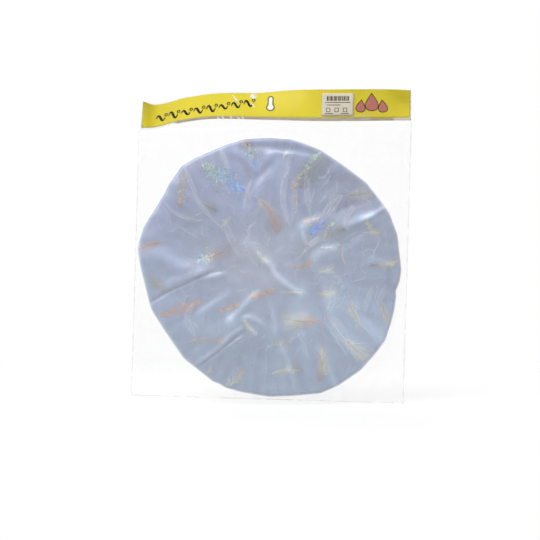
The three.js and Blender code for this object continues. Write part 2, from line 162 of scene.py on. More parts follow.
CENTRE = hang(CAP_X, 0, CAP_Z) / MM
CENTRE_U, CENTRE_V = face_units(CENTRE[0], CENTRE[2])


def off_centre(reach, angle):
    """Face place at a distance, in face units, and an angle from the middle of the cap"""
    return np.stack([CENTRE_U + reach * np.cos(angle), CENTRE_V - reach * np.sin(angle)])


def round_cap(x, z):
    """Angle and distance from the middle of the cap, for places in millimetres of the frame"""
    dx, dz = x - CENTRE[0], z - CENTRE[2]
    return np.arctan2(dz, dx), np.hypot(dx, dz)


def cap_ring(radius, depth, angles):
    """Points in millimetres of the frame at a radius round the middle of the cap"""
    return np.stack([CENTRE[0] + radius * np.cos(angles), depth, CENTRE[2] + radius * np.sin(angles)], 1)


# Camera

LENS, SENSOR, FAR = 100, 36, 50
FACE_DEPTH = -8.0
camera = bpy.data.objects.new("camera", bpy.data.cameras.new("camera"))
scene.collection.objects.link(camera)
camera.data.lens = LENS
camera.data.sensor_width = SENSOR
camera.data.clip_end = FAR
view_x, view_z = face_mm(FRAME_UNITS / 2, FRAME_UNITS / 2)
view_y = FACE_DEPTH - FRAME_UNITS * UNIT * LENS / SENSOR
camera.location = Vector((view_x, view_y, view_z)) * MM
camera.rotation_euler = (math.pi / 2, 0, 0)
scene.camera = camera


# Colours

def rgb(r, g, b):
    """Screen colour, 0 to 255, as linear light"""
    light = [((c / 255 + 0.055) / 1.055) ** 2.4 if c > 10 else c / 255 / 12.92 for c in (r, g, b)]
    return (*light, 1.0)


def grey(value):
    return (value, value, value, 1.0)


def blend(a, b, share):
    return tuple(x + (y - x) * share for x, y in zip(a, b))


def shaded(a, b, shares):
    """Colours between a and b for an array of shares"""
    return np.array(a) + (np.array(b) - np.array(a)) * shares[..., None]


WHITE = grey(1.0)
LAVENDER, STEEL, WARM = rgb(151, 162, 195), rgb(153, 168, 191), rgb(172, 180, 197)
GOLD, PALE, COPPER = rgb(204, 208, 186), rgb(212, 219, 208), rgb(194, 158, 142)
ORANGE, BROWN, DUSK = rgb(216, 164, 124), rgb(150, 132, 132), rgb(138, 148, 160)
SILVER, MOSS, AZURE = rgb(214, 222, 234), rgb(160, 170, 158), rgb(146, 174, 238)
# GLEAM and EMBER, and the FLASHES below, colour the foil's grains: painted flashes of light off the
# holographic foil
CLOTH, GLEAM, EMBER = rgb(163, 170, 192), rgb(240, 245, 252), rgb(228, 182, 148)
FLASHES = [rgb(84, 140, 255), rgb(116, 180, 255), rgb(156, 230, 246), rgb(166, 244, 194), rgb(250, 240, 178),
           rgb(248, 186, 132)]
THREAD_DARK, THREAD_LIGHT = rgb(196, 202, 216), rgb(222, 226, 234)
YELLOW, SUN, MUSTARD = rgb(224, 207, 48), rgb(231, 216, 64), rgb(197, 179, 16)
SEAL_DARK, SEAL_LIGHT, SEAL_CLEAR = rgb(164, 151, 122), rgb(197, 186, 157), rgb(220, 211, 190)
PAPER_DARK, PAPER_LIGHT = rgb(222, 212, 190), rgb(232, 224, 204)
HOLE_SHADE_BLACK, SOOT, DARK, LABEL_INK = rgb(20, 15, 10), rgb(16, 11, 9), rgb(48, 34, 30), rgb(46, 39, 34)
PINK, ROSE = rgb(196, 122, 108), rgb(212, 146, 132)


# Materials

def material(name):
    made = bpy.data.materials.new(name)
    made.use_nodes = True
    made.node_tree.nodes.clear()
    return made


def add(mat, kind, inputs=None, **settings):
    """A shader node; inputs are sockets to link from or values to set"""
    node = mat.node_tree.nodes.new(kind)
    for key, value in settings.items():
        setattr(node, key, value)
    for key, value in (inputs or {}).items():
        if isinstance(value, bpy.types.NodeSocket):
            mat.node_tree.links.new(value, node.inputs[key])
        else:
            node.inputs[key].default_value = value
    return node


def output(mat, shader):
    add(mat, "ShaderNodeOutputMaterial", {"Surface": shader})
    return mat


def coords(mat, scale=(1, 1, 1)):
    place = add(mat, "ShaderNodeTexCoord").outputs["Object"]
    return add(mat, "ShaderNodeMapping", {"Vector": place, "Scale": scale}).outputs[0]


def noise(mat, scale, detail, roughness=0.5):
    return add(mat, "ShaderNodeTexNoise", {"Vector": coords(mat), "Scale": scale, "Detail": detail,
                                           "Roughness": roughness}).outputs["Fac"]


def wave(mat, scale, distortion, detail, stretch=(1, 1, 1)):
    return add(mat, "ShaderNodeTexWave", {"Vector": coords(mat, stretch), "Scale": scale,
                                          "Distortion": distortion, "Detail": detail}).outputs["Fac"]


def ramp(mat, fac, *stops):
    node = add(mat, "ShaderNodeValToRGB", {"Fac": fac})
    while len(node.color_ramp.elements) < len(stops):
        node.color_ramp.elements.new(0.5)
    for element, (at, color) in zip(node.color_ramp.elements, stops):
        element.position = at
        element.color = color
    return node.outputs["Color"]


def speckle(mat, scale, detail, dark, light, spread=0.2):
    """Noise between two greys"""
    return ramp(mat, noise(mat, scale, detail), (0.5 - spread, grey(dark)), (0.5 + spread, grey(light)))


def calc(mat, operation, a, b=0.0, c=0.0, clamp=False):
    return add(mat, "ShaderNodeMath", {0: a, 1: b, 2: c}, operation=operation, use_clamp=clamp).outputs[0]


def smooth_range(mat, value, start, end, most):
    """Falls from most to 0 as the value goes from start to end"""
    return add(mat, "ShaderNodeMapRange", {"Value": value, "From Min": start, "From Max": end, "To Min": most,
                                           "To Max": 0.0}, interpolation_type="SMOOTHSTEP").outputs[0]


def distance_to(mat, place):
    """How far a point of the surface is from a place, in metres"""
    here = add(mat, "ShaderNodeTexCoord").outputs["Object"]
    return add(mat, "ShaderNodeVectorMath", {0: here, 1: place}, operation="DISTANCE").outputs["Value"]


def mix_colors(mat, fac, a, b, mode="MIX"):
    return add(mat, "ShaderNodeMix", {0: fac, 6: a, 7: b}, data_type="RGBA", blend_type=mode).outputs[2]


def multiply(mat, a, b):
    return mix_colors(mat, 1.0, a, b, "MULTIPLY")


def mix_shaders(mat, fac, a, b):
    return add(mat, "ShaderNodeMixShader", {0: fac, 1: a, 2: b}).outputs[0]


def bump(mat, height, strength, depth):
    return add(mat, "ShaderNodeBump", {"Height": height, "Strength": strength, "Distance": depth}).outputs[0]


def principled(mat, color, roughness, more=None):
    sockets = {"Base Color": color, "Roughness": roughness, **(more or {})}
    return add(mat, "ShaderNodeBsdfPrincipled", sockets).outputs[0]


def clear(mat):
    return add(mat, "ShaderNodeBsdfTransparent", {"Color": WHITE}).outputs[0]


def tint(mat):
    """Colours carried by the mesh"""
    return add(mat, "ShaderNodeAttribute", attribute_name="tint")


def glossed(mat, body, color, roughness, power, most, least=0.0):
    """Gloss over a body, more of it where the surface turns away"""
    gloss = add(mat, "ShaderNodeBsdfGlossy", {"Color": color, "Roughness": roughness}).outputs[0]
    facing = add(mat, "ShaderNodeLayerWeight", {"Blend": 0.5}).outputs["Facing"]
    share = calc(mat, "MULTIPLY_ADD", calc(mat, "POWER", facing, power), most, least)
    return mix_shaders(mat, share, body, gloss)


SATIN_SHINE = {"color": (0.93, 0.95, 1, 1), "roughness": 0.3, "power": 1.8, "most": 0.95}
SATIN_SHEEN = {"Specular IOR Level": 0.95, "Sheen Weight": 0.7, "Sheen Roughness": 0.28,
               "Sheen Tint": (0.9, 0.94, 1, 1)}
SATIN_LOW, SATIN_HIGH = -0.3, -0.06
WARM_PLACE = (CENTRE[0] * MM, -0.016, CENTRE[2] * MM + 0.002)
WARM_NEAR, WARM_FAR = 0.03, 0.12
MOTTLE_DARK, MOTTLE_LIGHT = (0.968, 0.948, 0.964, 1), (0.985, 1, 0.995, 1)


def satin_material():
    """Lavender cloth that turns to steel blue downwards and is warmer in the middle, with a fine warp"""
    mat = material("satin")
    place = add(mat, "ShaderNodeTexCoord").outputs["Object"]
    height = add(mat, "ShaderNodeSeparateXYZ", {"Vector": place}).outputs["Z"]
    fall = add(mat, "ShaderNodeMapRange", {"Value": height, "From Min": SATIN_LOW, "From Max": SATIN_HIGH})
    wander = calc(mat, "MULTIPLY_ADD", noise(mat, 16, 1.5), 0.9, -0.45)
    tone = calc(mat, "ADD", fall.outputs[0], wander, clamp=True)
    color = ramp(mat, tone, (0.15, STEEL), (0.55, blend(STEEL, LAVENDER, 0.55)), (0.9, LAVENDER))
    stray = calc(mat, "MULTIPLY_ADD", noise(mat, 26, 2), 0.07, distance_to(mat, WARM_PLACE))
    color = mix_colors(mat, smooth_range(mat, stray, WARM_NEAR, WARM_FAR, 0.6), color, WARM)
    mottle = ramp(mat, noise(mat, 70, 3), (0.35, MOTTLE_DARK), (0.65, MOTTLE_LIGHT))
    color = multiply(mat, multiply(mat, color, mottle), speckle(mat, 480, 2, 0.945, 1.055))
    # The mesh's tint carries the painted highlights and shade of the satin, and its random tone
    color = multiply(mat, color, tint(mat).outputs["Color"])
    warp = bump(mat, wave(mat, 900, 2.0, 1.0, (1, 1, 0.12)), 0.05, 0.0002)
    body = principled(mat, color, speckle(mat, 240, 2, 0.27, 0.36), {**SATIN_SHEEN, "Normal": warp})
    return output(mat, glossed(mat, body, **SATIN_SHINE))


def film_material(name, haze, roughness, gleam=0.045, milk=(0.93, 0.94, 0.96, 1), spots=60):
    """Clear film: it lets the light through, with a little milkiness that wanders, and gloss"""
    mat = material(name)
    milky = add(mat, "ShaderNodeBsdfDiffuse", {"Color": milk}).outputs[0]
    veil = mix_shaders(mat, speckle(mat, spots, 3, 0.6 * haze, 1.3 * haze), clear(mat), milky)
    return output(mat, glossed(mat, veil, WHITE, roughness, 4.0, 0.7, gleam))


def weld_material(name, cover, color):
    """Melted film, patchy and partly clear"""
    mat = material(name)
    patch = speckle(mat, 140, 3, 0.25 * cover, cover, 0.15)
    return output(mat, mix_shaders(mat, patch, clear(mat), principled(mat, color, 0.3)))


def tinted_material(name, roughness, grain, depth, strength=0.12, shine=0.5, on_satin=False):
    """Colour carried by the mesh, broken up a little by grain"""
    mat = material(name)
    color = multiply(mat, tint(mat).outputs["Color"], speckle(mat, grain, 3, 0.93, 1.0))
    normal = bump(mat, noise(mat, 2 * grain, 2), strength, depth)
    body = principled(mat, color, roughness, {"Specular IOR Level": shine, "Normal": normal})
    return output(mat, glossed(mat, body, **SATIN_SHINE) if on_satin else body)


def seal_material():
    """Ribbed weld, clear where the two films are joined by themselves"""
    mat = material("sealing")
    color = multiply(mat, tint(mat).outputs["Color"], speckle(mat, 700, 3, 0.9, 1.0))
    return output(mat, mix_shaders(mat, tint(mat).outputs["Alpha"], clear(mat), principled(mat, color, 0.4)))


def lining_material():
    mat = material("lining")
    crinkle = noise(mat, 130, 4, 0.6)
    color = ramp(mat, crinkle, (0.3, rgb(205, 210, 220)), (0.7, rgb(228, 231, 236)))
    return output(mat, principled(mat, color, 0.32, {"Normal": bump(mat, crinkle, 0.35, 0.0012)}))


def knit_material():
    mat = material("knit")
    ribs = wave(mat, 400, 1.0, 2.0)
    color = ramp(mat, ribs, (0.2, rgb(214, 214, 210)), (0.8, rgb(243, 243, 240)))
    return output(mat, principled(mat, color, 0.85, {"Normal": bump(mat, ribs, 0.4, 0.0003)}))


# The milky creases, ribbons and wisps are real raised ridges with gloss; their milkiness is painted
# reflection of light caught on the wrinkles
WRINKLE_GLINT_MILK = (0.88, 0.91, 0.96, 1)
satin = satin_material()
lining_sheet = lining_material()
knit = knit_material()
thread = tinted_material("thread", 0.7, 3000, 0.0001)
foil = tinted_material("foil", 0.35, 1500, 0.0001, shine=0.7, on_satin=True)
pouch_film = film_material("pouch_film", 0.05, 0.2, 0.04)
header_film = film_material("header_film", 0.006, 0.22, 0.004)
crease_film = film_material("crease_film", 0.09, 0.25, milk=WRINKLE_GLINT_MILK, spots=220)
ribbon_film = film_material("ribbon_film", 0.036, 0.25, milk=WRINKLE_GLINT_MILK, spots=90)
wisp_film = film_material("wisp_film", 0.05, 0.25, milk=(0.9, 0.91, 0.94, 1), spots=260)
# Near-white film for the header's glints: painted highlights
glint_film = film_material("glint_film", 0.75, 0.15, milk=(0.98, 0.98, 0.97, 1), spots=300)
tack = film_material("tack", 0.06, 0.3, spots=400)
weld = weld_material("weld", 0.22, rgb(205, 202, 196))
melt = weld_material("melt", 0.75, rgb(184, 166, 158))
card = tinted_material("card", 0.5, 900, 0.0002, shine=0.08)
ink = tinted_material("ink", 0.55, 1500, 0.0001, shine=0.1)
paper = tinted_material("paper", 0.75, 2200, 0.0002, 0.2)
sealing = seal_material()


# Mesh helpers

def make(name, shape, body, mat, node=None, tints=None):
    """A piece from points in the frame, in metres, and faces; tints are a colour or one for each point"""
    points, faces = shape
    mesh = bpy.data.meshes.new(name)
    mesh.from_pydata([tuple(p) for p in points], [], faces)
    mesh.validate()
    if tints is not None:
        layer = mesh.color_attributes.new("tint", "FLOAT_COLOR", "POINT")
        colors = np.broadcast_to(np.array(tints, np.float32), (len(points), 4))
        layer.data.foreach_set("color", colors.ravel())
    mesh.polygons.foreach_set("use_smooth", [True] * len(mesh.polygons))
    mesh.materials.append(mat)
    mesh.update()
    piece = bpy.data.objects.new(name, mesh)
    scene.collection.objects.link(piece)
    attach(piece, body)
    if node:
        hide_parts(node)
    return piece


def grid(left, right, columns, rows):
    """Places from left to right in rows, and each row's share of the way up"""
    x = np.broadcast_to(np.linspace(left, right, columns), (rows, columns))
    return x, np.broadcast_to(np.linspace(0, 1, rows)[:, None], (rows, columns))


def grid_faces(rows, columns, first=0, around=False, loop=False):
    """Quads of points laid row by row; around closes each row on itself, and loop the last on the first"""
    faces = []
    for i in range(rows if loop else rows - 1):
        low, high = first + i * columns, first + (i + 1) % rows * columns
        for j in range(columns if around else columns - 1):
            k = (j + 1) % columns
            faces.append((low + j, low + k, high + k, high + j))
    return faces


def flipped(faces):
    return [f[::-1] for f in faces]


def closed(front, back, faces):
    """Closed sheet between two layers of points that share their faces"""
    count = len(front)
    edges = dict.fromkeys(edge for f in faces for edge in zip(f, f[1:] + f[:1]))
    walls = [(b, a, count + a, count + b) for a, b in edges if (b, a) not in edges]
    return np.vstack([front, back]), faces + [tuple(count + k for k in f) for f in flipped(faces)] + walls


def gather(parts):
    """One shape from several"""
    points, faces, first = [], [], 0
    for p, f in parts:
        faces += [tuple(first + k for k in face) for face in f]
        points.append(p)
        first += len(p)
    return np.vstack(points), faces


def smooth_line(points, per_span=8):
    """Catmull-Rom curve through the points"""
    p = np.asarray(points, float)
    p = np.vstack([2 * p[0] - p[1], p, 2 * p[-1] - p[-2]])
    t = np.linspace(0, 1, per_span, endpoint=False)[:, None]
    spans = [0.5 * (2 * b + (c - a) * t + (2 * a - 5 * b + 4 * c - d) * t ** 2
                    + (3 * b - a - 3 * c + d) * t ** 3) for a, b, c, d in zip(p, p[1:], p[2:], p[3:])]
    return np.vstack(spans + [p[-2]])


def sides_of(line):
    """Unit vectors square to a flat line, at each of its points"""
    along = np.gradient(line, axis=0)
    square = np.stack([-along[:, 1], along[:, 0]], 1)
    return square / np.maximum(np.linalg.norm(square, axis=1, keepdims=True), 1e-9)


RIPPLE_SCALE = 0.8


def ripple(u, v, waves, low, high, seed):
    """Smooth wandering between -1 and 1, from waves of random direction with wavelengths from low to high"""
    pick = np.random.default_rng(seed)
    total = 0.0
    for _ in range(waves):
        angle, phase = pick.uniform(0, TAU, 2)
        length = pick.uniform(low, high)
        total = total + np.sin(TAU / length * (u * math.cos(angle) + v * math.sin(angle)) + phase)
    return total / math.sqrt(waves) * RIPPLE_SCALE


def onset(value, start, run):
    """0 up to the start, then rising to 1 over the run"""
    return np.clip((value - start) / run, 0, 1)


def hump(off, width):
    """1 in the middle, falling away on both sides"""
    return np.exp(-(off / width) ** 2)


def as_share(swing):
    """A wave between -1 and 1 as a share between 0 and 1"""
    return 0.5 + 0.5 * swing


def uneven(angle, count, drift, turns, shift=0.0):
    """Phase of a wave that repeats round the cap, with a drift that makes its crests uneven"""
    return count * angle + drift * np.sin(turns * angle) + shift


# Cap: outline of its rim, and its relief, in face units with heights in millimetres

RIM = [
    (270, 137), (290, 138.5), (306.5, 144), (321, 150), (342, 164), (366.5, 182.5), (384.5, 205.5),
    (389.5, 213), (397.5, 234), (401, 264), (401.5, 270), (400, 281), (396, 291), (396.5, 296),
    (394.5, 310), (391.5, 322), (385.5, 340.5), (374.5, 355), (360.5, 370.5), (338, 386), (320.5, 393.5),
    (293, 396), (270, 397), (257, 395), (240, 392), (224.5, 387.5), (220.5, 384.5), (212.5, 381.5),
    (196.5, 368.5), (183.5, 358.5), (165, 331.5), (152.5, 312), (150, 306), (148.5, 300), (140.5, 268),
    (137.5, 250), (138.5, 243), (142.5, 228), (145.5, 222), (156.5, 205), (165, 190.5), (168.5, 183),
    (181, 165), (193.5, 157.5), (219, 146.5), (228, 143), (246, 138),
]
RIM_STEPS, RIM_FINE, RIM_BLUR, RIM_WINDOW = 1440, 40, 3.2, 8


def rim_table():
    """Radius of the rim in millimetres at even steps of angle, counter-clockwise from the right"""
    ring = np.array(RIM + RIM[:1], float)
    share = np.linspace(0, 1, RIM_FINE, endpoint=False)[:, None]
    fine = np.vstack([a + (b - a) * share for a, b in zip(ring, ring[1:])])
    steps = np.arange(RIM_STEPS) * TAU / RIM_STEPS
    even = np.interp(steps, *round_cap(*face_mm(*fine.T)), period=TAU)
    reach = np.arange(-RIM_WINDOW, RIM_WINDOW + 1)
    weights = hump(reach, RIM_BLUR)
    return steps, sum(np.roll(even, k) * w for k, w in zip(reach, weights)) / weights.sum()


RIM_ANGLES, RIM_RADII = rim_table()


def rim_radius(angle):
    return np.interp(angle, RIM_ANGLES, RIM_RADII, period=TAU)


# Folds of the crown: a line, its height, and how far it spreads above and below the line
FOLDS = [
    ([(146, 301), (157, 292.5), (167.5, 284.5), (176, 279), (186, 276), (196, 273.5), (208, 270)],
     0.6, 3.2, 4.6),
    ([(144, 306), (152, 301), (165, 293.5), (180, 286.5), (190, 282), (204, 275.5), (216, 270)],
     -0.15, 2.2, 2.6),
    ([(202, 280.5), (213, 276.5), (221, 274), (230, 273)], 0.4, 2.0, 5),
    ([(188, 371), (197.5, 363.5), (209, 356.5), (220, 347.5), (228, 339.5), (236, 332), (248, 325)],
     0.55, 2.8, 2.8),
    ([(188, 373), (198, 365.6), (210, 358), (220, 351), (230, 342.5), (239, 335), (248, 328)],
     -0.45, 2.2, 1.5),
    ([(240, 340), (250, 335), (262, 331)], -0.4, 2.5, 2),
    ([(406, 195), (386, 207.5), (374, 215), (364, 220.5), (352, 225), (336, 231)], 2.0, 2.2, 9),
    ([(326, 219), (344, 208), (358, 204), (384, 193)], -0.8, 7, 4),
    ([(262, 156), (276, 154), (288, 155), (300, 156.5), (316, 161)], 1.4, 2.2, 8),
    ([(240, 148), (258, 146.5), (278, 147), (300, 149), (318, 155)], -0.9, 4, 3.5),
    ([(226, 155), (240, 161), (250, 171), (257, 177), (264, 171), (276, 158)], -0.45, 3.5, 7),
    ([(242, 214), (252, 198), (262, 184), (272, 172), (284, 158)], 0.3, 5, 7),
    ([(248, 242), (262, 259), (272, 270), (281, 281), (292, 288.5), (308, 299)], 0.8, 6, 4),
    ([(222, 327), (236, 315), (248, 302), (264, 289)], 0.5, 3.2, 6),
    ([(238, 321), (249, 317.5), (262, 323)], 0.7, 3, 4),
    ([(196, 316), (212, 306), (230, 294)], 0.7, 4, 5),
    ([(308, 258), (322, 253), (338, 246)], 0.7, 5, 6),
    ([(132, 257), (150, 256), (166, 260), (182, 269), (200, 271), (216, 265)], 0.9, 8, 7),
    ([(281, 340), (286, 360), (293, 386)], 0.6, 4, 5),
    ([(316, 344), (324, 356), (330, 368), (340, 392)], 0.6, 4, 5),
    ([(346, 298), (360, 320), (388, 347)], 0.4, 5, 6),
    ([(324, 300), (334, 322), (346, 340), (372, 366)], 0.45, 6, 7),
    ([(298, 168), (318, 182), (332, 200)], -1.0, 14, 12),
    ([(170, 180), (190, 200), (214, 216)], 0.8, 14, 12),
    ([(298, 298), (320, 312), (334, 332)], -0.8, 12, 12),
    ([(203, 237), (230, 246), (254, 246)], -0.9, 14, 12),
    ([(366, 243), (380, 238), (396, 236)], 0.6, 6, 6),
    ([(372, 280), (386, 287), (398, 291)], -0.9, 5, 4),
    ([(222, 384), (232, 374), (246, 360)], -0.5, 4, 5),
    ([(256, 216), (270, 224), (286, 222)], 0.6, 9, 8),
]

# Painted highlights and shade of the satin: a line, its painted level in screen levels, darker below 0, and
# how far it spreads on either side
PAINTED_LIGHT_AND_SHADE = [
    ([(322, 226), (344, 222), (366, 217), (380, 211)], 14, 6, 6),
    ([(310, 207), (340, 204), (366, 200)], -7, 7, 7),
    ([(128, 253), (150, 251), (165, 254), (180, 263), (197, 266), (218, 260)], 23, 6.5, 6.5),
    ([(166, 206), (182, 214), (202, 230)], -10, 12, 12),
    ([(200, 194), (210, 204), (222, 217)], -10, 5, 5),
    ([(226, 155), (240, 161), (250, 171), (257, 177), (264, 171), (276, 158)], -14, 4, 4.5),
    ([(220, 149), (240, 153), (250, 163), (257, 168), (266, 160), (275, 150)], 11, 4, 3.5),
    ([(236, 145), (249, 146), (262, 147), (278, 147), (300, 148.5), (320, 154)], -15, 4, 4),
    ([(240, 218), (250, 200), (262, 183), (272, 170), (286, 154)], 15, 4.5, 5.5),
    ([(219, 146), (224, 157), (232, 174)], 14, 2.6, 3),
    ([(238, 232), (254, 247), (274, 266)], 15, 6, 6),
    ([(260, 256), (269, 263), (278, 272)], 26, 3, 3.4),
    ([(268, 264), (280, 278), (292, 287), (308, 297)], 30, 3, 4),
    ([(300, 238), (307, 262), (313, 290), (318, 310), (330, 328)], -11, 5, 7),
    ([(290, 290), (340, 315), (392, 336)], 16, 28, 28),
    ([(330, 330), (356, 346), (384, 352)], 8, 16, 16),
    ([(297, 226), (306, 221), (320, 216)], 22, 2.6, 2.6),
    ([(150, 306), (195, 318), (240, 336)], 7, 18, 18),
    ([(214, 168), (250, 162), (300, 168)], 5, 14, 14),
    ([(256, 222), (268, 227), (284, 232)], -10, 8, 8),
    ([(268, 258), (280, 249), (296, 247)], 11, 2.6, 3),
    ([(260, 151), (275, 151.5), (285, 153), (302, 152.5)], 34, 1.7, 2),
    ([(290, 152.5), (303, 154.5), (316, 157), (326, 155)], 15, 2.4, 2.6),
    ([(292, 186), (312, 180), (334, 176), (366, 186)], -15, 13, 12),
    ([(302, 200), (308, 210), (318, 214)], -8, 7, 6),
    ([(334, 210), (346, 206), (362, 201)], -12, 3.5, 4),
    ([(408, 191), (388, 204), (374, 213.5), (356, 221)], 46, 2.1, 2.4),
    ([(380, 211), (360, 220), (340, 229)], 20, 4, 4),
    ([(292, 231), (302, 226), (310, 222), (324, 214)], 32, 4, 4),
    ([(314, 221), (324, 215), (338, 205)], 14, 2.4, 2.6),
    ([(299, 222), (303, 234), (310, 251)], 17, 2.4, 2.6),
    ([(284, 239), (293, 235), (300, 231)], 13, 3.6, 3.6),
    ([(304, 263), (320, 253), (342, 243)], 23, 4.6, 5),
    ([(338, 256), (351, 245), (368, 234)], 14, 2.6, 2.8),
    ([(358, 265), (372, 260), (384, 262), (400, 269)], 17, 4, 4),
    ([(324, 236), (348, 232), (384, 226)], -9, 5, 5),
    ([(286, 152), (282, 180), (284, 206), (292, 230)], 9, 4.6, 5),
    ([(144, 306), (152, 301), (165, 293.5), (180, 286.5), (190, 282), (204, 275.5), (218, 269)],
     -24, 1.4, 1.4),
    ([(148, 300), (165, 288), (176, 280.5), (188, 276), (202, 271), (214, 267)], 13, 2, 2.6),
    ([(134, 314), (152, 303.4), (160, 298.8), (173, 292.4)], 18, 1.3, 2),
    ([(201, 280), (211, 276), (218, 274), (230, 272)], 42, 2, 2.4),
    ([(188, 373), (198, 366), (210, 358.5), (220, 351.5), (230, 343), (239, 335.5), (250, 327)],
     -18, 1.6, 1.6),
    ([(186, 371), (197, 363), (208, 356), (220, 346.5), (231, 334.5), (250, 323)], 11, 1.8, 2),
    ([(220, 328), (233, 316), (242, 307), (250, 299), (266, 288)], 26, 3, 3.2),
    ([(224, 308), (231, 317), (231, 330)], 18, 4, 4),
    ([(192, 318), (212, 304), (220, 298), (236, 288)], 18, 3.6, 4),
    ([(236, 322), (248, 316.5), (256, 319), (268, 326)], 26, 2.8, 3),
    ([(244, 326), (253, 330), (262, 334)], 16, 2.4, 2.6),
    ([(222, 275), (235, 280), (248, 286)], 11, 5, 5),
    ([(180, 322), (192, 328), (204, 334)], 9, 6, 6),
    ([(194, 338), (206, 330), (220, 322)], 9, 2.6, 2.8),
    ([(212, 366), (240, 350), (270, 342)], -9, 12, 14),
    ([(222, 390), (232, 374), (242, 360)], 13, 2.6, 2.8),
    ([(314, 284), (328, 293), (340, 302)], 15, 4.6, 4.6),
    ([(342, 296), (356, 315), (372, 330), (394, 350)], 8, 5, 5),
    ([(320, 292), (331, 316), (338, 330), (348, 343), (378, 372)], 8, 5.6, 6),
    ([(338, 310), (360, 332), (386, 357)], -10, 5, 5),
    ([(318, 322), (334, 344), (356, 370)], -12, 6, 6),
    ([(312, 340), (324, 356), (329, 366), (335, 384), (340, 396)], 17, 3.2, 3.4),
    ([(279, 334), (285, 354), (289, 368), (296, 392)], 18, 2.6, 2.8),
    ([(290, 360), (298, 371), (304, 384)], -9, 4, 4),
    ([(282, 332), (294, 319), (312, 311)], 17, 5, 5),
    ([(268, 298), (274, 318), (272, 344)], 14, 4, 4),
    ([(317, 276), (320, 296), (324, 316)], -12, 4.6, 4.6),
    ([(320, 264), (334, 276), (350, 285)], 11, 2.6, 2.8),
    ([(386, 256), (389, 280), (388, 304)], -9, 4, 4),
    ([(252, 389), (280, 387), (306, 391)], 10, 4, 4),
    ([(298, 322), (304, 344), (310, 366)], 9, 3, 3.2),
]
# Each screen level of the painted light and shade also moves the satin's face a little; the gains multiply
# its colour, lighter and darker
LIGHT_AND_SHADE_RELIEF = 0.012
PAINTED_LIGHT_GAIN, PAINTED_SHADE_GAIN = np.array([0.0133, 0.0134, 0.0122]), np.array([0.0126, 0.0129, 0.0131])
WARM_SPOT, WARM_SPREAD, WARM_CAST = (226, 249), 38, np.array([0.05, 0.01, -0.05])
FOLD_STEPS, FOLD_REACH, FOLD_FADE, FOLD_END = 6, 2.6, 12, 0.45
BROAD_SWELL, BROAD_WAVES, FINE_SWELL, FINE_WAVES = 0.45, (7, 45, 90, 3), 0.2, (9, 16, 30, 5)


def fold_shape(u, v, line, height, above, below):
    """Ridge or, with a negative height, valley along a line that fades at its ends"""
    p = smooth_line(line, FOLD_STEPS)
    reach = FOLD_REACH * max(above, below)
    low, high = p.min(0) - reach, p.max(0) + reach
    close = (u > low[0]) & (u < high[0]) & (v > low[1]) & (v < high[1])
    total = np.zeros(u.shape)
    u, v = u[close], v[close]
    best, side, share = np.full(u.shape, np.inf), np.zeros(u.shape), np.zeros(u.shape)
    lengths = np.hypot(*np.diff(p, axis=0).T)
    starts = np.concatenate([[0], np.cumsum(lengths)])
    for a, b, length, start in zip(p[:-1], p[1:], lengths, starts):
        ax, ay = (b - a) / length
        du, dv = u - a[0], v - a[1]
        t = np.clip(du * ax + dv * ay, 0, length)
        off = np.hypot(du - t * ax, dv - t * ay)
        near = off < best
        best = np.where(near, off, best)
        side = np.where(near, du * ay - dv * ax, side)
        share = np.where(near, (start + t) / starts[-1], share)
    end = min(FOLD_END, FOLD_FADE / starts[-1])
    fade = onset(share, 0, end) * onset(1 - share, 0, end)
    fade = fade * fade * (3 - 2 * fade)
    total[close] = height * fade * hump(best, np.where(side >= 0, above, below))
    return total


def lines(table, u, v):
    return sum(fold_shape(u, v, *row) for row in table)


def relief(u, v):
    total = BROAD_SWELL * ripple(u, v, *BROAD_WAVES) + FINE_SWELL * ripple(u, v, *FINE_WAVES)
    return total + lines(FOLDS, u, v) + LIGHT_AND_SHADE_RELIEF * lines(PAINTED_LIGHT_AND_SHADE, u, v)


RIM_ROLL, DOME_FOOT, DOME_POWER, RELIEF_POWER = 4.5, 0.62, 6, 14
CROWN_SINK, CROWN_EASE = 2.6, 0.4
CROWN_RISE = CROWN_DEPTH - RIM_THICKNESS / 2 - CROWN_SINK
# Waves round the cap: how many, their drift, and how often the drift turns
PUCKERS, LOOSE_PLEATS, FINE_PLEATS, HEM_WAVES = (37, 2, 5), (57, 1.7, 3), (80, 1.3, 9), (PLEATS, 1.1, 7)
PUCKER_DEPTH, PUCKER_POWER = 0.12, 10
PLEAT_DEPTH, LOOSE_DEPTH, LOOSE_TWIST, LOOSE_END = 2.4, 0.9, 4.0, 1.15
RUFFLE_DEPTH, RUFFLE_START = 7.5, 0.55


def crown_depth(u, v):
    """Frame depth, in millimetres, of the satin's front face"""
    angle, radius = round_cap(*face_mm(u, v))
    reach = rim_radius(angle)
    share = np.clip(radius / reach, 0, 1)
    inward = np.minimum(1, reach * (1 - share) / RIM_ROLL)
    roll = np.sqrt(np.maximum(0, 1 - (1 - inward) ** 2))
    dome = DOME_FOOT + (1 - DOME_FOOT) * np.sqrt(1 - share ** DOME_POWER)
    puckers = PUCKER_DEPTH * np.sin(uneven(angle, *PUCKERS)) * share ** PUCKER_POWER
    rise = CROWN_RISE * dome + relief(u, v) * np.sqrt(1 - share ** RELIEF_POWER) + puckers
    return BACK_PLANE - np.minimum(RIM_THICKNESS / 2 + roll * rise, CROWN_DEPTH + CROWN_EASE)


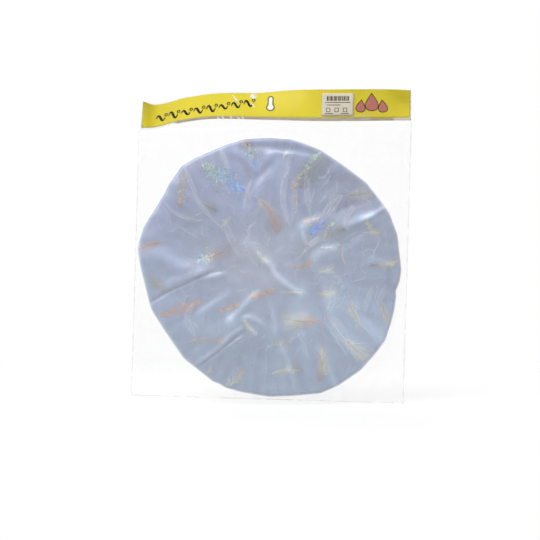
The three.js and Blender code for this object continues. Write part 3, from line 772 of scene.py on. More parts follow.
def pleat(angle, share):
    """Gathers of the underside, deepest at the mouth"""
    at = angle + TILT
    even = (1 - np.cos(PLEATS * at)) / 2
    loose = (1 - np.cos(uneven(at, *LOOSE_PLEATS, LOOSE_TWIST * share))) / 2
    fine = (1 - np.cos(uneven(at, *FINE_PLEATS))) / 2
    ruffle = RUFFLE_DEPTH * fine * np.maximum(0, share - RUFFLE_START) ** 2
    return PLEAT_DEPTH * even * share + LOOSE_DEPTH * loose * share * (LOOSE_END - share) + ruffle


SECTORS, CROWN_RINGS, SKIRT_RINGS = 640, 112, 38
CROWN_CROWDING, SKIRT_CROWDING, PLEAT_START, CURL_END, RIM_TUCK = 1.5, 1.4, 0.03, 0.05, 2
LINING_GRID = (160, 40, 20)


def crown_row(radius, angles, inset):
    row = cap_ring(radius, np.zeros(len(angles)), angles)
    row[:, 1] = np.minimum(crown_depth(*face_units(row[:, 0], row[:, 2])) + inset, BACK_PLANE - inset)
    return row


def cap_shell(sectors, crown_rings, skirt_rings, inset):
    """The cap from the middle of its crown, over the rim and in to its mouth, with an inset"""
    angles = np.arange(sectors) * TAU / sectors
    rim = rim_radius(angles) - RIM_TUCK * inset
    shares = 1 - (1 - np.arange(1, crown_rings + 1) / crown_rings) ** CROWN_CROWDING
    rows = [crown_row(rim * share, angles, inset) for share in shares]
    edge = rows[-1][:, 1]
    for k in range(1, skirt_rings + 1):
        share = (k / skirt_rings) ** SKIRT_CROWDING
        folds = pleat(angles, share) * min(1, share / PLEAT_START)
        curl = (edge - BACK_PLANE + inset) * max(0, 1 - share / CURL_END) ** 2
        rows.append(cap_ring(rim + (SKIRT_RADIUS - rim) * share, BACK_PLANE - inset - folds + curl, angles))
    middle = crown_row(0.0, np.zeros(1), inset)
    faces = [(0, 1 + j, 1 + (j + 1) % sectors) for j in range(sectors)]
    return np.vstack([middle] + rows) * MM, faces + flipped(grid_faces(len(rows), sectors, 1, around=True))


# Streaks of painted gather shade round the cap: how many, their drift, how often it turns, and their twist
# towards the rim
STREAKS = [(23, 1.3, 3, 4), (41, 2, 5, 0), (67, 0, 0, -3)]
STREAK_PAINTED_SHADE, STREAK_POWER = 2.2, 1.5
# Painted light on the lower rim, which faces down, and a painted highlight along the upper rim
LOW_RIM_PAINTED_LIGHT, LOW_RIM_LIGHT_WIDTH = 7, 0.035
RIM_GLEAM, RIM_GLEAM_WIDTH, RIM_GLEAM_TURN = 34, 0.018, 0.5
MOTTLE_SHADE, MOTTLE_WAVES = 2.6, (14, 7, 24, 81)
BLUE_LOSS, BLUE_LEFT, BLUE_BOTTOM, BLUE_RUN = 0.06, 280, 310, 60


def painted_light_gain(level):
    """Colour to multiply by for a level of painted light in screen levels, darker below 0; painted highlights
    lose some of the blue
    """
    return np.exp(np.outer(np.maximum(level, 0), PAINTED_LIGHT_GAIN) + np.outer(np.minimum(level, 0), PAINTED_SHADE_GAIN))


def satin_painted_light_and_tone(points):
    """Painted light and shade, random mottle and tone of each point of the satin, as a colour to multiply it
    by; the underside has only fine streaks
    """
    x, z = points[:, 0] / MM, points[:, 2] / MM
    u, v = face_units(x, z)
    angle, radius = round_cap(x, z)
    share = radius / rim_radius(angle)
    streaks = sum(np.sin(uneven(angle, *run, twist * share)) for *run, twist in STREAKS)
    level = STREAK_PAINTED_SHADE * streaks * share ** STREAK_POWER
    level += LOW_RIM_PAINTED_LIGHT * hump(1 - share, LOW_RIM_LIGHT_WIDTH) * (1 - np.sin(angle))
    level += RIM_GLEAM * hump(1 - share, RIM_GLEAM_WIDTH) * np.clip(np.sin(angle - RIM_GLEAM_TURN), 0, 1)
    front = np.arange(len(points)) <= SECTORS * CROWN_RINGS
    level[front] += lines(PAINTED_LIGHT_AND_SHADE, u[front], v[front])
    level[front] += MOTTLE_SHADE * ripple(u[front], v[front], *MOTTLE_WAVES)
    gain = painted_light_gain(level)
    gain[:, 2] *= 1 - BLUE_LOSS * onset(u, BLUE_LEFT, BLUE_RUN) * onset(-v, -BLUE_BOTTOM, BLUE_RUN)
    warm = np.exp(-((u - WARM_SPOT[0]) / WARM_SPREAD) ** 2 - ((v - WARM_SPOT[1]) / WARM_SPREAD) ** 2)
    gain *= 1 + np.outer(warm, WARM_CAST)
    return np.hstack([gain, np.ones((len(points), 1))])


shell = cap_shell(SECTORS, CROWN_RINGS, SKIRT_RINGS, 0.0)
# Painted light and shade of the satin, as tints on its points
cap_satin = make("satin_shell", shell, "cap", satin, "cap_satin", satin_painted_light_and_tone(shell[0]))
shell = cap_shell(*LINING_GRID, LINING_INSET)
cap_lining = make("waterproof_lining", shell, "cap", lining_sheet, "cap_lining")
thickness = cap_lining.modifiers.new("thickness", "SOLIDIFY")
thickness.thickness = LINING_THICKNESS * MM
thickness.offset = -1


# Mouth of the cap: ruffled hem, the elastic in it and the stitches that close it

HEM_SECTORS, HEM_TURNS = 480, 8
# Section of the elastic from its middle: out from the mouth and towards the front
ELASTIC = [(2.8, -0.35), (2.9, 0), (2.8, 0.35), (0, 0.4), (-2.8, 0.35), (-2.9, 0), (-2.8, -0.35), (0, -0.4)]
STITCHES, STITCH_STEPS, STITCH_SIDES = 150, 5, 6
STITCH_SHARE, STITCH_INSET, STITCH_RADIUS, STITCH_BACK, STITCH_END = 0.62, 1.0, 0.25, 0.34, 0.06


def hem_lay(angle):
    """Depth of the hem's back face, and how far the hem strays from a circle"""
    sway = HEM_SWAY * np.sin(uneven(angle, *HEM_WAVES))
    return BACK_PLANE - HEM_SEAT - pleat(angle, 1.0), sway


def mouth_ring(section):
    """Closed ring round the mouth; the section lists radius and depth in front of the hem's back face"""
    angles = np.arange(HEM_SECTORS) * TAU / HEM_SECTORS
    seat, sway = hem_lay(angles)
    points = np.vstack([cap_ring(radius + sway, seat - depth, angles) for radius, depth in section]) * MM
    return points, grid_faces(len(section), HEM_SECTORS, around=True, loop=True)


def hem_section():
    """Cloth turned over at the mouth, open at the outer edge"""
    outer, room = MOUTH_RADIUS + HEM_WIDTH, HEM_THICKNESS - 2 * HEM_CLOTH
    turns = [math.pi * k / HEM_TURNS for k in range(HEM_TURNS + 1)]
    bend = [MOUTH_RADIUS + HEM_BEND * (1 - math.sin(t)) for t in turns]
    outside = [(r, HEM_THICKNESS * (1 - math.cos(t)) / 2) for r, t in zip(bend, turns)]
    inside = [(r + HEM_CLOTH, HEM_CLOTH + room * (1 + math.cos(t)) / 2) for r, t in zip(bend, turns)]
    ends = [(outer, HEM_THICKNESS), (outer, HEM_THICKNESS - HEM_CLOTH)]
    return [(outer, 0.0), *outside, *ends, *inside, (outer, HEM_CLOTH)]


def stitches():
    """Short threads along the hem, thickest in the middle"""
    along = np.linspace(0, 1, STITCH_STEPS)
    angle = (np.arange(STITCHES)[:, None] + (along - 0.5) * STITCH_SHARE) * TAU / STITCHES
    swell = STITCH_RADIUS * np.sqrt(np.maximum(STITCH_END, 1 - (2 * along - 1) ** 2))[:, None]
    turn = np.arange(STITCH_SIDES) * TAU / STITCH_SIDES
    seat, sway = hem_lay(angle[..., None])
    radius = MOUTH_RADIUS + HEM_WIDTH - STITCH_INSET + sway + swell * np.cos(turn)
    depth = seat + STITCH_BACK + swell * np.sin(turn)
    points = cap_ring(radius.ravel(), depth.ravel(), np.repeat(angle.ravel(), STITCH_SIDES)) * MM
    faces = []
    size = STITCH_STEPS * STITCH_SIDES
    for first in range(0, len(points), size):
        faces += grid_faces(STITCH_STEPS, STITCH_SIDES, first, around=True)
        faces.append(tuple(range(first, first + STITCH_SIDES)))
        faces.append(tuple(reversed(range(first + size - STITCH_SIDES, first + size))))
    return points, faces


hem = make("ruffled_hem", mouth_ring(hem_section()), "cap", satin, "hem_casing", WHITE)
band = [(MOUTH_RADIUS + HEM_WIDTH / 2 + out, HEM_THICKNESS / 2 + ahead) for out, ahead in ELASTIC]
make("flat_elastic", mouth_ring(band), "cap", knit, "elastic_band")
shape = stitches()
tints = [blend(THREAD_DARK, THREAD_LIGHT, draw.random()) for _ in shape[0]]
make("hem_stitches", shape, "cap", thread, "hem_stitching", tints)


# Feather print: each feather has a quill, and barbs on both sides in ink that changes along it

# Base and tip of the vane, its width, bow, quill behind the base, inks, and foil with the hue of its painted
# flashes
FEATHERS = [
    ((203, 165), (244, 191), 17, 1, 10, (CLOTH, CLOTH, AZURE), 0.8, (0.64, 0.02)),
    ((244, 139), (256, 167), 11, -1, 0, (COPPER, BROWN, AZURE), 0.5, (1.0, 0.0)),
    ((184, 168), (178, 207), 10, -2, 0, (MOSS, COPPER, COPPER), 0.34, (0.3, 0.95)),
    ((203, 203), (218, 211), 7, 1, 3, (GOLD, BROWN, DUSK), 0.12, (0.8, 0.8)),
    ((221, 227), (232, 215), 6, 1, 2, (MOSS, GOLD, DUSK), 0.14, (0.6, 0.7)),
    ((161, 243), (137, 252), 10, 2, 4, (COPPER, COPPER, BROWN), 0.08, (0.95, 0.95)),
    ((196, 263), (215, 255), 13, -1, 14, (DUSK, SILVER, COPPER), 0.5, (0.3, 1.0)),
    ((210, 257), (233, 251), 15, -1, 0, (COPPER, BROWN, CLOTH), 0.15, (0.95, 0.95)),
    ((259, 199), (279, 232), 18, -3, 5, (PALE, COPPER, COPPER), 0.14, (0.98, 0.98)),
    ((257, 251), (268, 263), 9, 1, 0, (PALE, PALE, GOLD), 0.1, (0.6, 0.7)),
    ((283, 159), (292, 148), 8, -1, 0, (GOLD, SILVER, AZURE), 0.35, (0.75, 0.05)),
    ((299, 190), (329, 153), 20, -1, 0, (DUSK, DUSK, MOSS), 0.05, (0.7, 0.6)),
    ((292, 189), (321, 152), 9, -2, 2, (COPPER, CLOTH, CLOTH), 0.5, (0.9, 0.5)),
    ((346, 196), (374, 191), 17, 1, 16, (GOLD, GOLD, COPPER), 0.04, (0.7, 0.95)),
    ((293, 195), (300, 201), 6, 1, 0, (GOLD, COPPER, DUSK), 0.15, (0.85, 0.9)),
    ((302, 220), (319, 218), 9, 2, 0, (ORANGE, CLOTH, ORANGE), 0.36, (0.95, 0.85)),
    ((310, 234), (323, 221), 12, 0, 0, (SILVER, AZURE, AZURE), 0.8, (0.14, 0.06)),
    ((324, 240), (334, 223), 5, -2, 0, (COPPER, MOSS, MOSS), 0.6, (0.98, 0.5)),
    ((331, 238), (342, 226), 15, -2, 0, (MOSS, MOSS, CLOTH), 0.05, (0.8, 0.5)),
    ((365, 219), (379, 235), 9, 2, 0, (GOLD, GOLD, ORANGE), 0.14, (0.7, 0.98)),
    ((320, 247), (339, 244), 9, 2, 0, (SILVER, SILVER, CLOTH), 0.3, (0.45, 0.6)),
    ((399, 259), (379, 265), 11, -2, 0, (COPPER, GOLD, GOLD), 0.12, (0.9, 0.7)),
    ((378, 265), (368, 266), 4, 0, 3, (GOLD, BROWN, DUSK), 0.05, (0.8, 0.8)),
    ((298, 268), (314, 260), 4, 1, 4, (COPPER, ORANGE, GOLD), 0.22, (0.95, 0.85)),
    ((149, 275), (165, 290), 13, 1, 0, (MOSS, MOSS, BROWN), 0.1, (0.6, 0.9)),
    ((160, 315), (203, 299), 13, 2, 4, (COPPER, COPPER, COPPER), 0.2, (0.98, 0.95)),
    ((220, 310), (239, 303), 8, 1, 3, (COPPER, COPPER, GOLD), 0.4, (0.97, 0.85)),
    ((250, 297), (275, 288), 9, 2, 0, (ORANGE, COPPER, GOLD), 0.3, (0.97, 0.85)),
    ((303, 292.5), (277, 291.5), 3, 0, 0, (COPPER, GOLD, GOLD), 0.2, (0.9, 0.85)),
    ((244, 319), (257, 335), 8, 1, 0, (GOLD, PALE, SILVER), 0.24, (0.7, 0.5)),
    ((190, 342), (226, 342), 10, -2, 2, (GOLD, CLOTH, COPPER), 0.2, (0.9, 0.7)),
    ((203, 375), (212, 367), 7, 1, 0, (PALE, GOLD, PALE), 0.18, (0.65, 0.7)),
    ((225, 387), (245, 368), 10, 2, 14, (PALE, GOLD, COPPER), 0.16, (0.7, 0.9)),
    ((317, 321), (281, 317), 20, -2, 12, (ORANGE, GOLD, GOLD), 0.06, (0.95, 0.65)),
    ((345, 339), (369, 360), 17, 1, 22, (PALE, GOLD, GOLD), 0.02, (0.7, 0.65)),
    ((359, 322), (349, 303), 10, -1, 14, (GOLD, GOLD, COPPER), 0.04, (0.8, 0.85)),
    ((381, 303), (391, 325), 12, 1, 3, (GOLD, GOLD, PALE), 0.03, (0.7, 0.65)),
    ((318, 272), (336, 265), 11, 2, 0, (GOLD, PALE, DUSK), 0.05, (0.7, 0.6)),
    ((316, 292), (335, 292), 12, 2, 0, (BROWN, GOLD, PALE), 0.05, (0.75, 0.65)),
    ((271, 343), (291, 338), 9, 2, 0, (GOLD, CLOTH, PALE), 0.12, (0.7, 0.6)),
    ((322, 346), (326, 374), 14, 2, 8, (COPPER, GOLD, PALE), 0.12, (0.95, 0.7)),
    ((322, 360), (318, 381), 7, -1, 0, (COPPER, COPPER, BROWN), 0.1, (0.95, 0.95)),
    ((272, 373), (303, 370), 10, -2, 3, (GOLD, PALE, BROWN), 0.14, (0.8, 0.7)),
    ((341, 253), (348, 268), 3, 1, 4, (COPPER, GOLD, DUSK), 0.1, (0.9, 0.8)),
]
BARB_LAYER, STEM_LAYER, GRAIN_LAYER = 0.0, 0.5, 1.0
PRINT_LIFT, UNDER_LIFT, LAYER_LIFT = 0.16, 0.24, 0.12
QUILL_STEPS, QUILL_WIDTH, QUILL_END = 6, 0.7, 0.06
STEM_STEPS, STEM_WIDTH, STEM_TAPER, STEM_START, STEM_SPAN = 12, 1.1, 0.6, 0.04, 0.88
QUILL_FADE, STEM_DARK, STEM_FAINT, PLAIN_FOIL = 0.3, 0.75, 0.15, 0.1
VANE_START, VANE_SKEW, VANE_FULL = 0.05, 0.85, 0.6
FEWEST_BARBS, BARB_CURL, GRAIN_SLANT, FOIL_COVER = 6, 0.3, 0.7, 0.5
# Ranges for the barbs: place, lean, how far the ink strays along the feather, and silver in it
BARB_PLACE, BARB_LEAN, BARB_STRAY, BARB_SILVER = (0.3, 0.7), (0.7, 1.0), (-0.15, 0.15), (0, 0.18)
# Two rounds of barbs: spacing, strength of the ink, shortest and longest as shares, and thickness
BARBS = [(1.1, 0.3, 0.4, 0.9, 0.6), (1.9, 0.8, 0.6, 1.3, 0.8)]
# Along a barb: the place, the strength of its ink and its width
BARB_STEPS = [(0, 1.0, 1.0), (0.33, 0.95, 0.9), (0.66, 0.85, 0.7), (1, 0.5, 0.3)]
GRAIN_ARMS = np.array([[0.85], [1.2], [0.85], [1.2]])
INK_GRAINS, INK_SPREAD, INK_SIZE, INK_FADE = 0.2, 0.6, (0.2, 0.35), 0.3
FOIL_GRAINS, FOIL_POWER, FOIL_PLACE, FOIL_SPREAD, FOIL_SIZE = 0.85, 1.2, (-0.02, 1.0), 0.55, (0.4, 0.7)
FLASH_ODDS, HUE_STRAY, WARM_HUE = 7, 0.13, 0.4
INK_TONES = [(SILVER, 0.6), (SILVER, 0.0), (BROWN, 0.5), (ORANGE, 0.3)]
FACE_PRINT, UNDER_PRINT = (0, 0.985), (0.5, 0.93)
# Rings of feathers behind: how many, and their radius in millimetres
UNDER_RINGS = [(11, 116), (7, 84)]
# Ranges for them: place in the ring, half length, width and bow
UNDER_PLACE, UNDER_HALF, UNDER_WIDTH, UNDER_BOW, UNDER_QUILL = (-0.2, 0.2), (9, 17), (8, 13), (-3, 3), 6
FEATHER_LOOKS = slice(5, None)


class Print:
    """Flat marks in face units; each point has an ink, and a layer that lifts it off the cloth"""

    def __init__(self):
        self.points, self.faces, self.inks, self.layers = [], [], [], []

    def mark(self, points, inks, layer, faces):
        first = len(self.points)
        self.points.extend(points)
        self.inks.extend(inks)
        self.layers.extend([layer] * len(points))
        self.faces.extend(tuple(first + k for k in face) for face in faces)

    def strip(self, line, widths, inks, layer):
        """Band along a line"""
        line, count = np.array(line), len(line)
        arm = sides_of(line) * np.reshape(widths, (-1, 1)) / 2
        faces = [(k, count + k, count + k + 1, k + 1) for k in range(count - 1)]
        self.mark([*(line + arm), *(line - arm)], [*inks, *inks], layer, faces)

    def grain(self, middle, size, color):
        """Four-cornered speck, turned at random"""
        turns = draw.uniform(0, TAU) + np.arange(4) * TAU / 4
        corners = middle + size * GRAIN_ARMS * np.stack([np.cos(turns), np.sin(turns)], 1)
        self.mark(corners, [color] * 4, GRAIN_LAYER, [(0, 1, 2, 3)])

    def between(self, low, high):
        """Points, faces, inks and layers of the marks between two shares of the rim's radius"""
        flat = np.array(self.points)
        angle, radius = round_cap(*face_mm(*flat.T))
        share = radius / rim_radius(angle)
        inside = (share > low) & (share < high)
        faces = [f for f in self.faces if all(inside[k] for k in f)]
        used = sorted({k for f in faces for k in f})
        place = {k: i for i, k in enumerate(used)}
        faces = [tuple(place[k] for k in f) for f in faces]
        return flat[used], faces, np.array(self.inks)[used], np.array(self.layers)[used]


def vane_width(t):
    """Share of a feather's half width along its vane"""
    place = min(1, VANE_START + (1 - VANE_START) * max(0, t))
    return math.sin(math.pi * place ** VANE_SKEW) ** VANE_FULL


def ink_at(inks, t):
    place = min(1, max(0, t)) * (len(inks) - 1)
    k = min(int(place), len(inks) - 2)
    return blend(inks[k], inks[k + 1], place - k)


def feather(sheet, base, tip, width, bow, quill, inks, foil_share, hues):
    """Marks of one feather: quill, stem, barbs, grains of ink and grains of foil in painted flashes"""
    base, along = np.array(base, float), np.subtract(tip, base)
    length = np.hypot(*along)
    axis = along / length
    square = np.array([-axis[1], axis[0]])

    def spine(t):
        return base + along * t + square * bow * 4 * t * (1 - t)

    def grain(t, off, size, color):
        reach = width / 2 * vane_width(t) * off
        sheet.grain(spine(t) + square * reach + axis * abs(reach) * GRAIN_SLANT, size, color)

    if quill:
        start = -quill / length
        bare = [spine(start + (QUILL_END - start) * k / QUILL_STEPS) for k in range(QUILL_STEPS + 1)]
        color = blend(blend(ink_at(inks, 0), ORANGE, QUILL_FADE), CLOTH, QUILL_FADE)
        sheet.strip(bare, [QUILL_WIDTH] * len(bare), [color] * len(bare), STEM_LAYER)
    shares = [k / STEM_STEPS for k in range(STEM_STEPS + 1)]
    dark = STEM_DARK if quill and foil_share < PLAIN_FOIL else STEM_FAINT
    color = blend(ink_at(inks, 0.5), BROWN, dark)
    stem = [spine(STEM_START + STEM_SPAN * share) for share in shares]
    sheet.strip(stem, [STEM_WIDTH - STEM_TAPER * share for share in shares], [color] * len(stem), STEM_LAYER)
    for spacing, strength, short, long, thick in BARBS:
        count = max(FEWEST_BARBS, int(length / spacing))
        for i in range(2 * count):
            side = 1 if i % 2 else -1
            t = (i // 2 + draw.uniform(*BARB_PLACE)) / count
            reach = width / 2 * vane_width(t) * draw.uniform(short, long)
            lean = draw.uniform(*BARB_LEAN)
            line = [spine(t) + square * side * reach * s + axis * reach * (lean * s + BARB_CURL * s * s)
                    for s, _, _ in BARB_STEPS]
            shade = blend(ink_at(inks, t + draw.uniform(*BARB_STRAY)), SILVER, draw.uniform(*BARB_SILVER))
            strong = strength * (1 - min(FOIL_COVER, foil_share))
            colors = [blend(CLOTH, shade, strong * fade) for _, fade, _ in BARB_STEPS]
            sheet.strip(line, [thick * share for _, _, share in BARB_STEPS], colors, BARB_LAYER)
    for _ in range(int(INK_GRAINS * length * width * (1 - foil_share))):
        t = draw.uniform(0, 1.0)
        color = blend(ink_at(inks, t), *draw.choice(INK_TONES))
        grain(t, draw.gauss(0, INK_SPREAD), draw.uniform(*INK_SIZE), blend(color, CLOTH, INK_FADE))
    # Grains of foil in flash colours and white sparks: painted reflections of the holographic foil
    for _ in range(int(foil_share ** FOIL_POWER * length * width * FOIL_GRAINS)):
        t = draw.uniform(*FOIL_PLACE)
        hue = hues[0] + (hues[1] - hues[0]) * t + draw.gauss(0, HUE_STRAY)
        sparks = (GLEAM, EMBER, BROWN) if hue > WARM_HUE else (GLEAM, AZURE, AZURE)
        color = draw.choice((ink_at(FLASHES, hue),) * FLASH_ODDS + sparks)
        color = blend(ink_at(inks, t), color, min(1, 2 * foil_share))
        grain(t, draw.gauss(0, FOIL_SPREAD), draw.uniform(*FOIL_SIZE), color)


def feathers(rows, low, high):
    sheet = Print()
    for row in rows:
        feather(sheet, *row)
    return sheet.between(low, high)


def underside_rows():
    """Feathers of the same cloth where it is gathered behind: rings of them, turned every way"""
    rows = []
    for count, radius in UNDER_RINGS:
        for k in range(count):
            angle = (k + draw.uniform(*UNDER_PLACE)) * TAU / count
            heading, half = draw.uniform(0, TAU), draw.uniform(*UNDER_HALF)
            middle = off_centre(radius / UNIT, angle)
            arm = half * np.array([math.cos(heading), math.sin(heading)])
            looks = FEATHERS[draw.randrange(len(FEATHERS))][FEATHER_LOOKS]
            width, bow = draw.uniform(*UNDER_WIDTH), draw.uniform(*UNDER_BOW)
            rows.append((middle - arm, middle + arm, width, bow, UNDER_QUILL, *looks))
    return rows


flat, faces, tints, layers = feathers(FEATHERS, *FACE_PRINT)
x, z = face_mm(*flat.T)
y = crown_depth(*flat.T) - PRINT_LIFT - LAYER_LIFT * layers
# The satin's painted highlights and shade darken and lighten the print with it
tints[:, :3] *= painted_light_gain(lines(PAINTED_LIGHT_AND_SHADE, *flat.T))
make("feather_print", (np.stack([x, y, z], 1) * MM, faces), "cap", foil, tints=tints)

flat, faces, tints, layers = feathers(underside_rows(), *UNDER_PRINT)
x, z = face_mm(*flat.T)
angle, radius = round_cap(x, z)
rim = rim_radius(angle)
y = BACK_PLANE - pleat(angle, (rim - radius) / (rim - SKIRT_RADIUS)) + UNDER_LIFT + LAYER_LIFT * layers
make("underside_print", (np.stack([x, y, z], 1) * MM, flipped(faces)), "cap", foil, tints=tints)


# Pouch: front film over the cap, back film, welds and the fold along the bottom

PILLOW_POWER, PILLOW_FLAT, SHOULDER = 3, 9, 2.4
SAG, SAG_EDGE, SAG_WAVES = 0.22, 12, (8, 30, 80, 21)
BACK_SAG, BACK_EDGE, BACK_WAVES, BACK_GRID = 0.25, 15, (8, 25, 70, 31), (90, 80)
FILM_STEPS = 150
BEAD_STEPS, BEAD_SIDES, BEAD_HOLD, BEAD_WAVER = 160, 8, 0.8, 0.06
BEAD_WIDE, WIDE_POWER, BEAD_DEEP, DEEP_POWER = 0.9, 0.5, 0.85, 0.6


def back_top(x):
    return seam(x) - SEAL_HEIGHT - GAP


def mouth_height(x):
    low, high = back_top(BAG_LEFT), back_top(BAG_RIGHT)
    return low + (high - low) * (x - BAG_LEFT) / (BAG_RIGHT - BAG_LEFT) - MOUTH_DROP


def pouch_depth(x, z, sag=SAG):
    """How far the front film stands in front of the back film"""
    across = np.abs(x - CAP_X) / np.where(x < CAP_X, LEFT_REACH + LEFT_SLACK, RIGHT_REACH)
    below = np.maximum(0, CAP_Z - z) / BOTTOM_REACH
    share = np.minimum(1, (across ** PILLOW_POWER + below ** PILLOW_POWER) ** (1 / PILLOW_POWER))
    rise = (CROWN_DEPTH - RIM_THICKNESS / 2) * np.sqrt(np.maximum(0, 1 - share ** PILLOW_FLAT))
    full = BACK_CLEARANCE + RIM_THICKNESS / 2 + rise + FRONT_CLEARANCE
    edge = np.minimum(np.minimum(x - FILM_LEFT, FILM_RIGHT - x), z - FILM_BOTTOM)
    ease = np.sqrt(onset(edge, 0, SHOULDER))
    return GAP + (full - GAP) * ease + sag * ripple(x, z, *SAG_WAVES) * onset(edge, 0, SAG_EDGE)


def film_depth(x, z):
    """Depth of the front film where it also rests on the folds of the cap"""
    place = hang(x, 0, z) / MM
    angle, radius = round_cap(place[..., 0], place[..., 2])
    fronts = [crown_depth(*off_centre(r / UNIT, angle)) for r in (radius, np.maximum(0, radius - RIM_ROOM))]
    folds = FILM_ROOM - HOLE_Y - np.minimum(*fronts)
    return np.maximum(pouch_depth(x, z), np.where(radius < rim_radius(angle) + RIM_ROOM, folds, 0))


# The front film's grid, closer towards its edges
FILM_MIDDLE, FILM_HALF = (FILM_LEFT + FILM_RIGHT) / 2, (FILM_RIGHT - FILM_LEFT) / 2
film_across = np.sin(np.linspace(-math.pi / 2, math.pi / 2, FILM_STEPS))
film_up = 1 - np.cos(np.linspace(0, math.pi / 2, FILM_STEPS))
film_x = np.broadcast_to(FILM_MIDDLE + FILM_HALF * film_across, (FILM_STEPS, FILM_STEPS))
film_z = FILM_BOTTOM + (mouth_height(film_x) - FILM_BOTTOM) * film_up[:, None]
film_depths = film_depth(film_x, film_z)


def film_at(x, z):
    """Depth of the front film between the points of its grid"""
    up = np.clip((z - FILM_BOTTOM) / (mouth_height(x) - FILM_BOTTOM), 0, 1)
    across = np.clip((x - FILM_MIDDLE) / FILM_HALF, -1, 1)
    row = np.arccos(1 - up) * 2 / math.pi * (FILM_STEPS - 1)
    column = (np.arcsin(across) / math.pi + 0.5) * (FILM_STEPS - 1)
    i = np.minimum(row.astype(int), FILM_STEPS - 2)
    j = np.minimum(column.astype(int), FILM_STEPS - 2)
    share = column - j
    low, high = (film_depths[k, j] * (1 - share) + film_depths[k, j + 1] * share for k in (i, i + 1))
    return low + (row - i) * (high - low)


def back_film():
    x, up = grid(FILM_LEFT, FILM_RIGHT, *BACK_GRID)
    z = FILM_BOTTOM + (back_top(x) - FILM_BOTTOM) * up
    edge = np.minimum(np.minimum(x - FILM_LEFT, FILM_RIGHT - x), np.minimum(z - FILM_BOTTOM, back_top(x) - z))
    y = FILM / 2 + BACK_SAG * ripple(x, z, *BACK_WAVES) * onset(edge, 0, BACK_EDGE)
    return hang(x, y, z).reshape(-1, 3), flipped(grid_faces(*x.shape))


def blunted(swing, power):
    return np.copysign(np.abs(swing) ** power, swing)


def bead(start, end, width, seed):
    """Hot-cut edge between two points of the pack's plane: a flat strip that thickens and thins"""
    pick = random.Random(seed)
    wavers = [0.0]
    for _ in range(BEAD_STEPS + 1):
        wavers.append(BEAD_HOLD * wavers[-1] + pick.uniform(-BEAD_WAVER, BEAD_WAVER))
    waver = np.array(wavers[1:])[:, None]
    line = np.linspace(start, end, BEAD_STEPS + 1)
    square = sides_of(line)
    turn = np.arange(BEAD_SIDES) * TAU / BEAD_SIDES
    off = width / 2 * blunted(np.cos(turn), WIDE_POWER) * (BEAD_WIDE + waver)
    deep = WELD_THICKNESS / 2 * blunted(np.sin(turn), DEEP_POWER) * (BEAD_DEEP + waver)
    points = hang(line[:, :1] + square[:, :1] * off, FILM - WELD_THICKNESS / 2 + deep,
                  line[:, 1:] + square[:, 1:] * off).reshape(-1, 3)
    faces = grid_faces(BEAD_STEPS + 1, BEAD_SIDES, around=True)
    ends = [tuple(reversed(range(BEAD_SIDES))), tuple(range(len(points) - BEAD_SIDES, len(points)))]
    return points, faces + ends


front = hang(film_x, -film_depths - FILM / 2, film_z).reshape(-1, 3)
make("pouch_front", (front, grid_faces(FILM_STEPS, FILM_STEPS)), "pack", pouch_film, "bag_front_film")
make("pouch_back", back_film(), "pack", pouch_film, "bag_back_film")
for name, node, edge, seed in (("left_weld", "left_side_weld", POUCH_LEFT + WELD_WIDTH / 2, 3),
                               ("right_weld", "right_side_weld", POUCH_RIGHT - WELD_WIDTH / 2, 4)):
    strip = bead((edge, FILM_BOTTOM), (edge, back_top(edge)), WELD_WIDTH, seed)
    make(name, strip, "pack", weld, node)
fold_z = BAG_BOTTOM + FOLD_HEIGHT / 2
strip = bead((POUCH_LEFT, fold_z), (POUCH_RIGHT, fold_z), FOLD_HEIGHT, 5)
make("pressed_bottom", strip, "pack", weld, "bottom_fold")


# Creases of the front film: width and line of each, a thin raised ridge whose milky film paints the light it
# catches

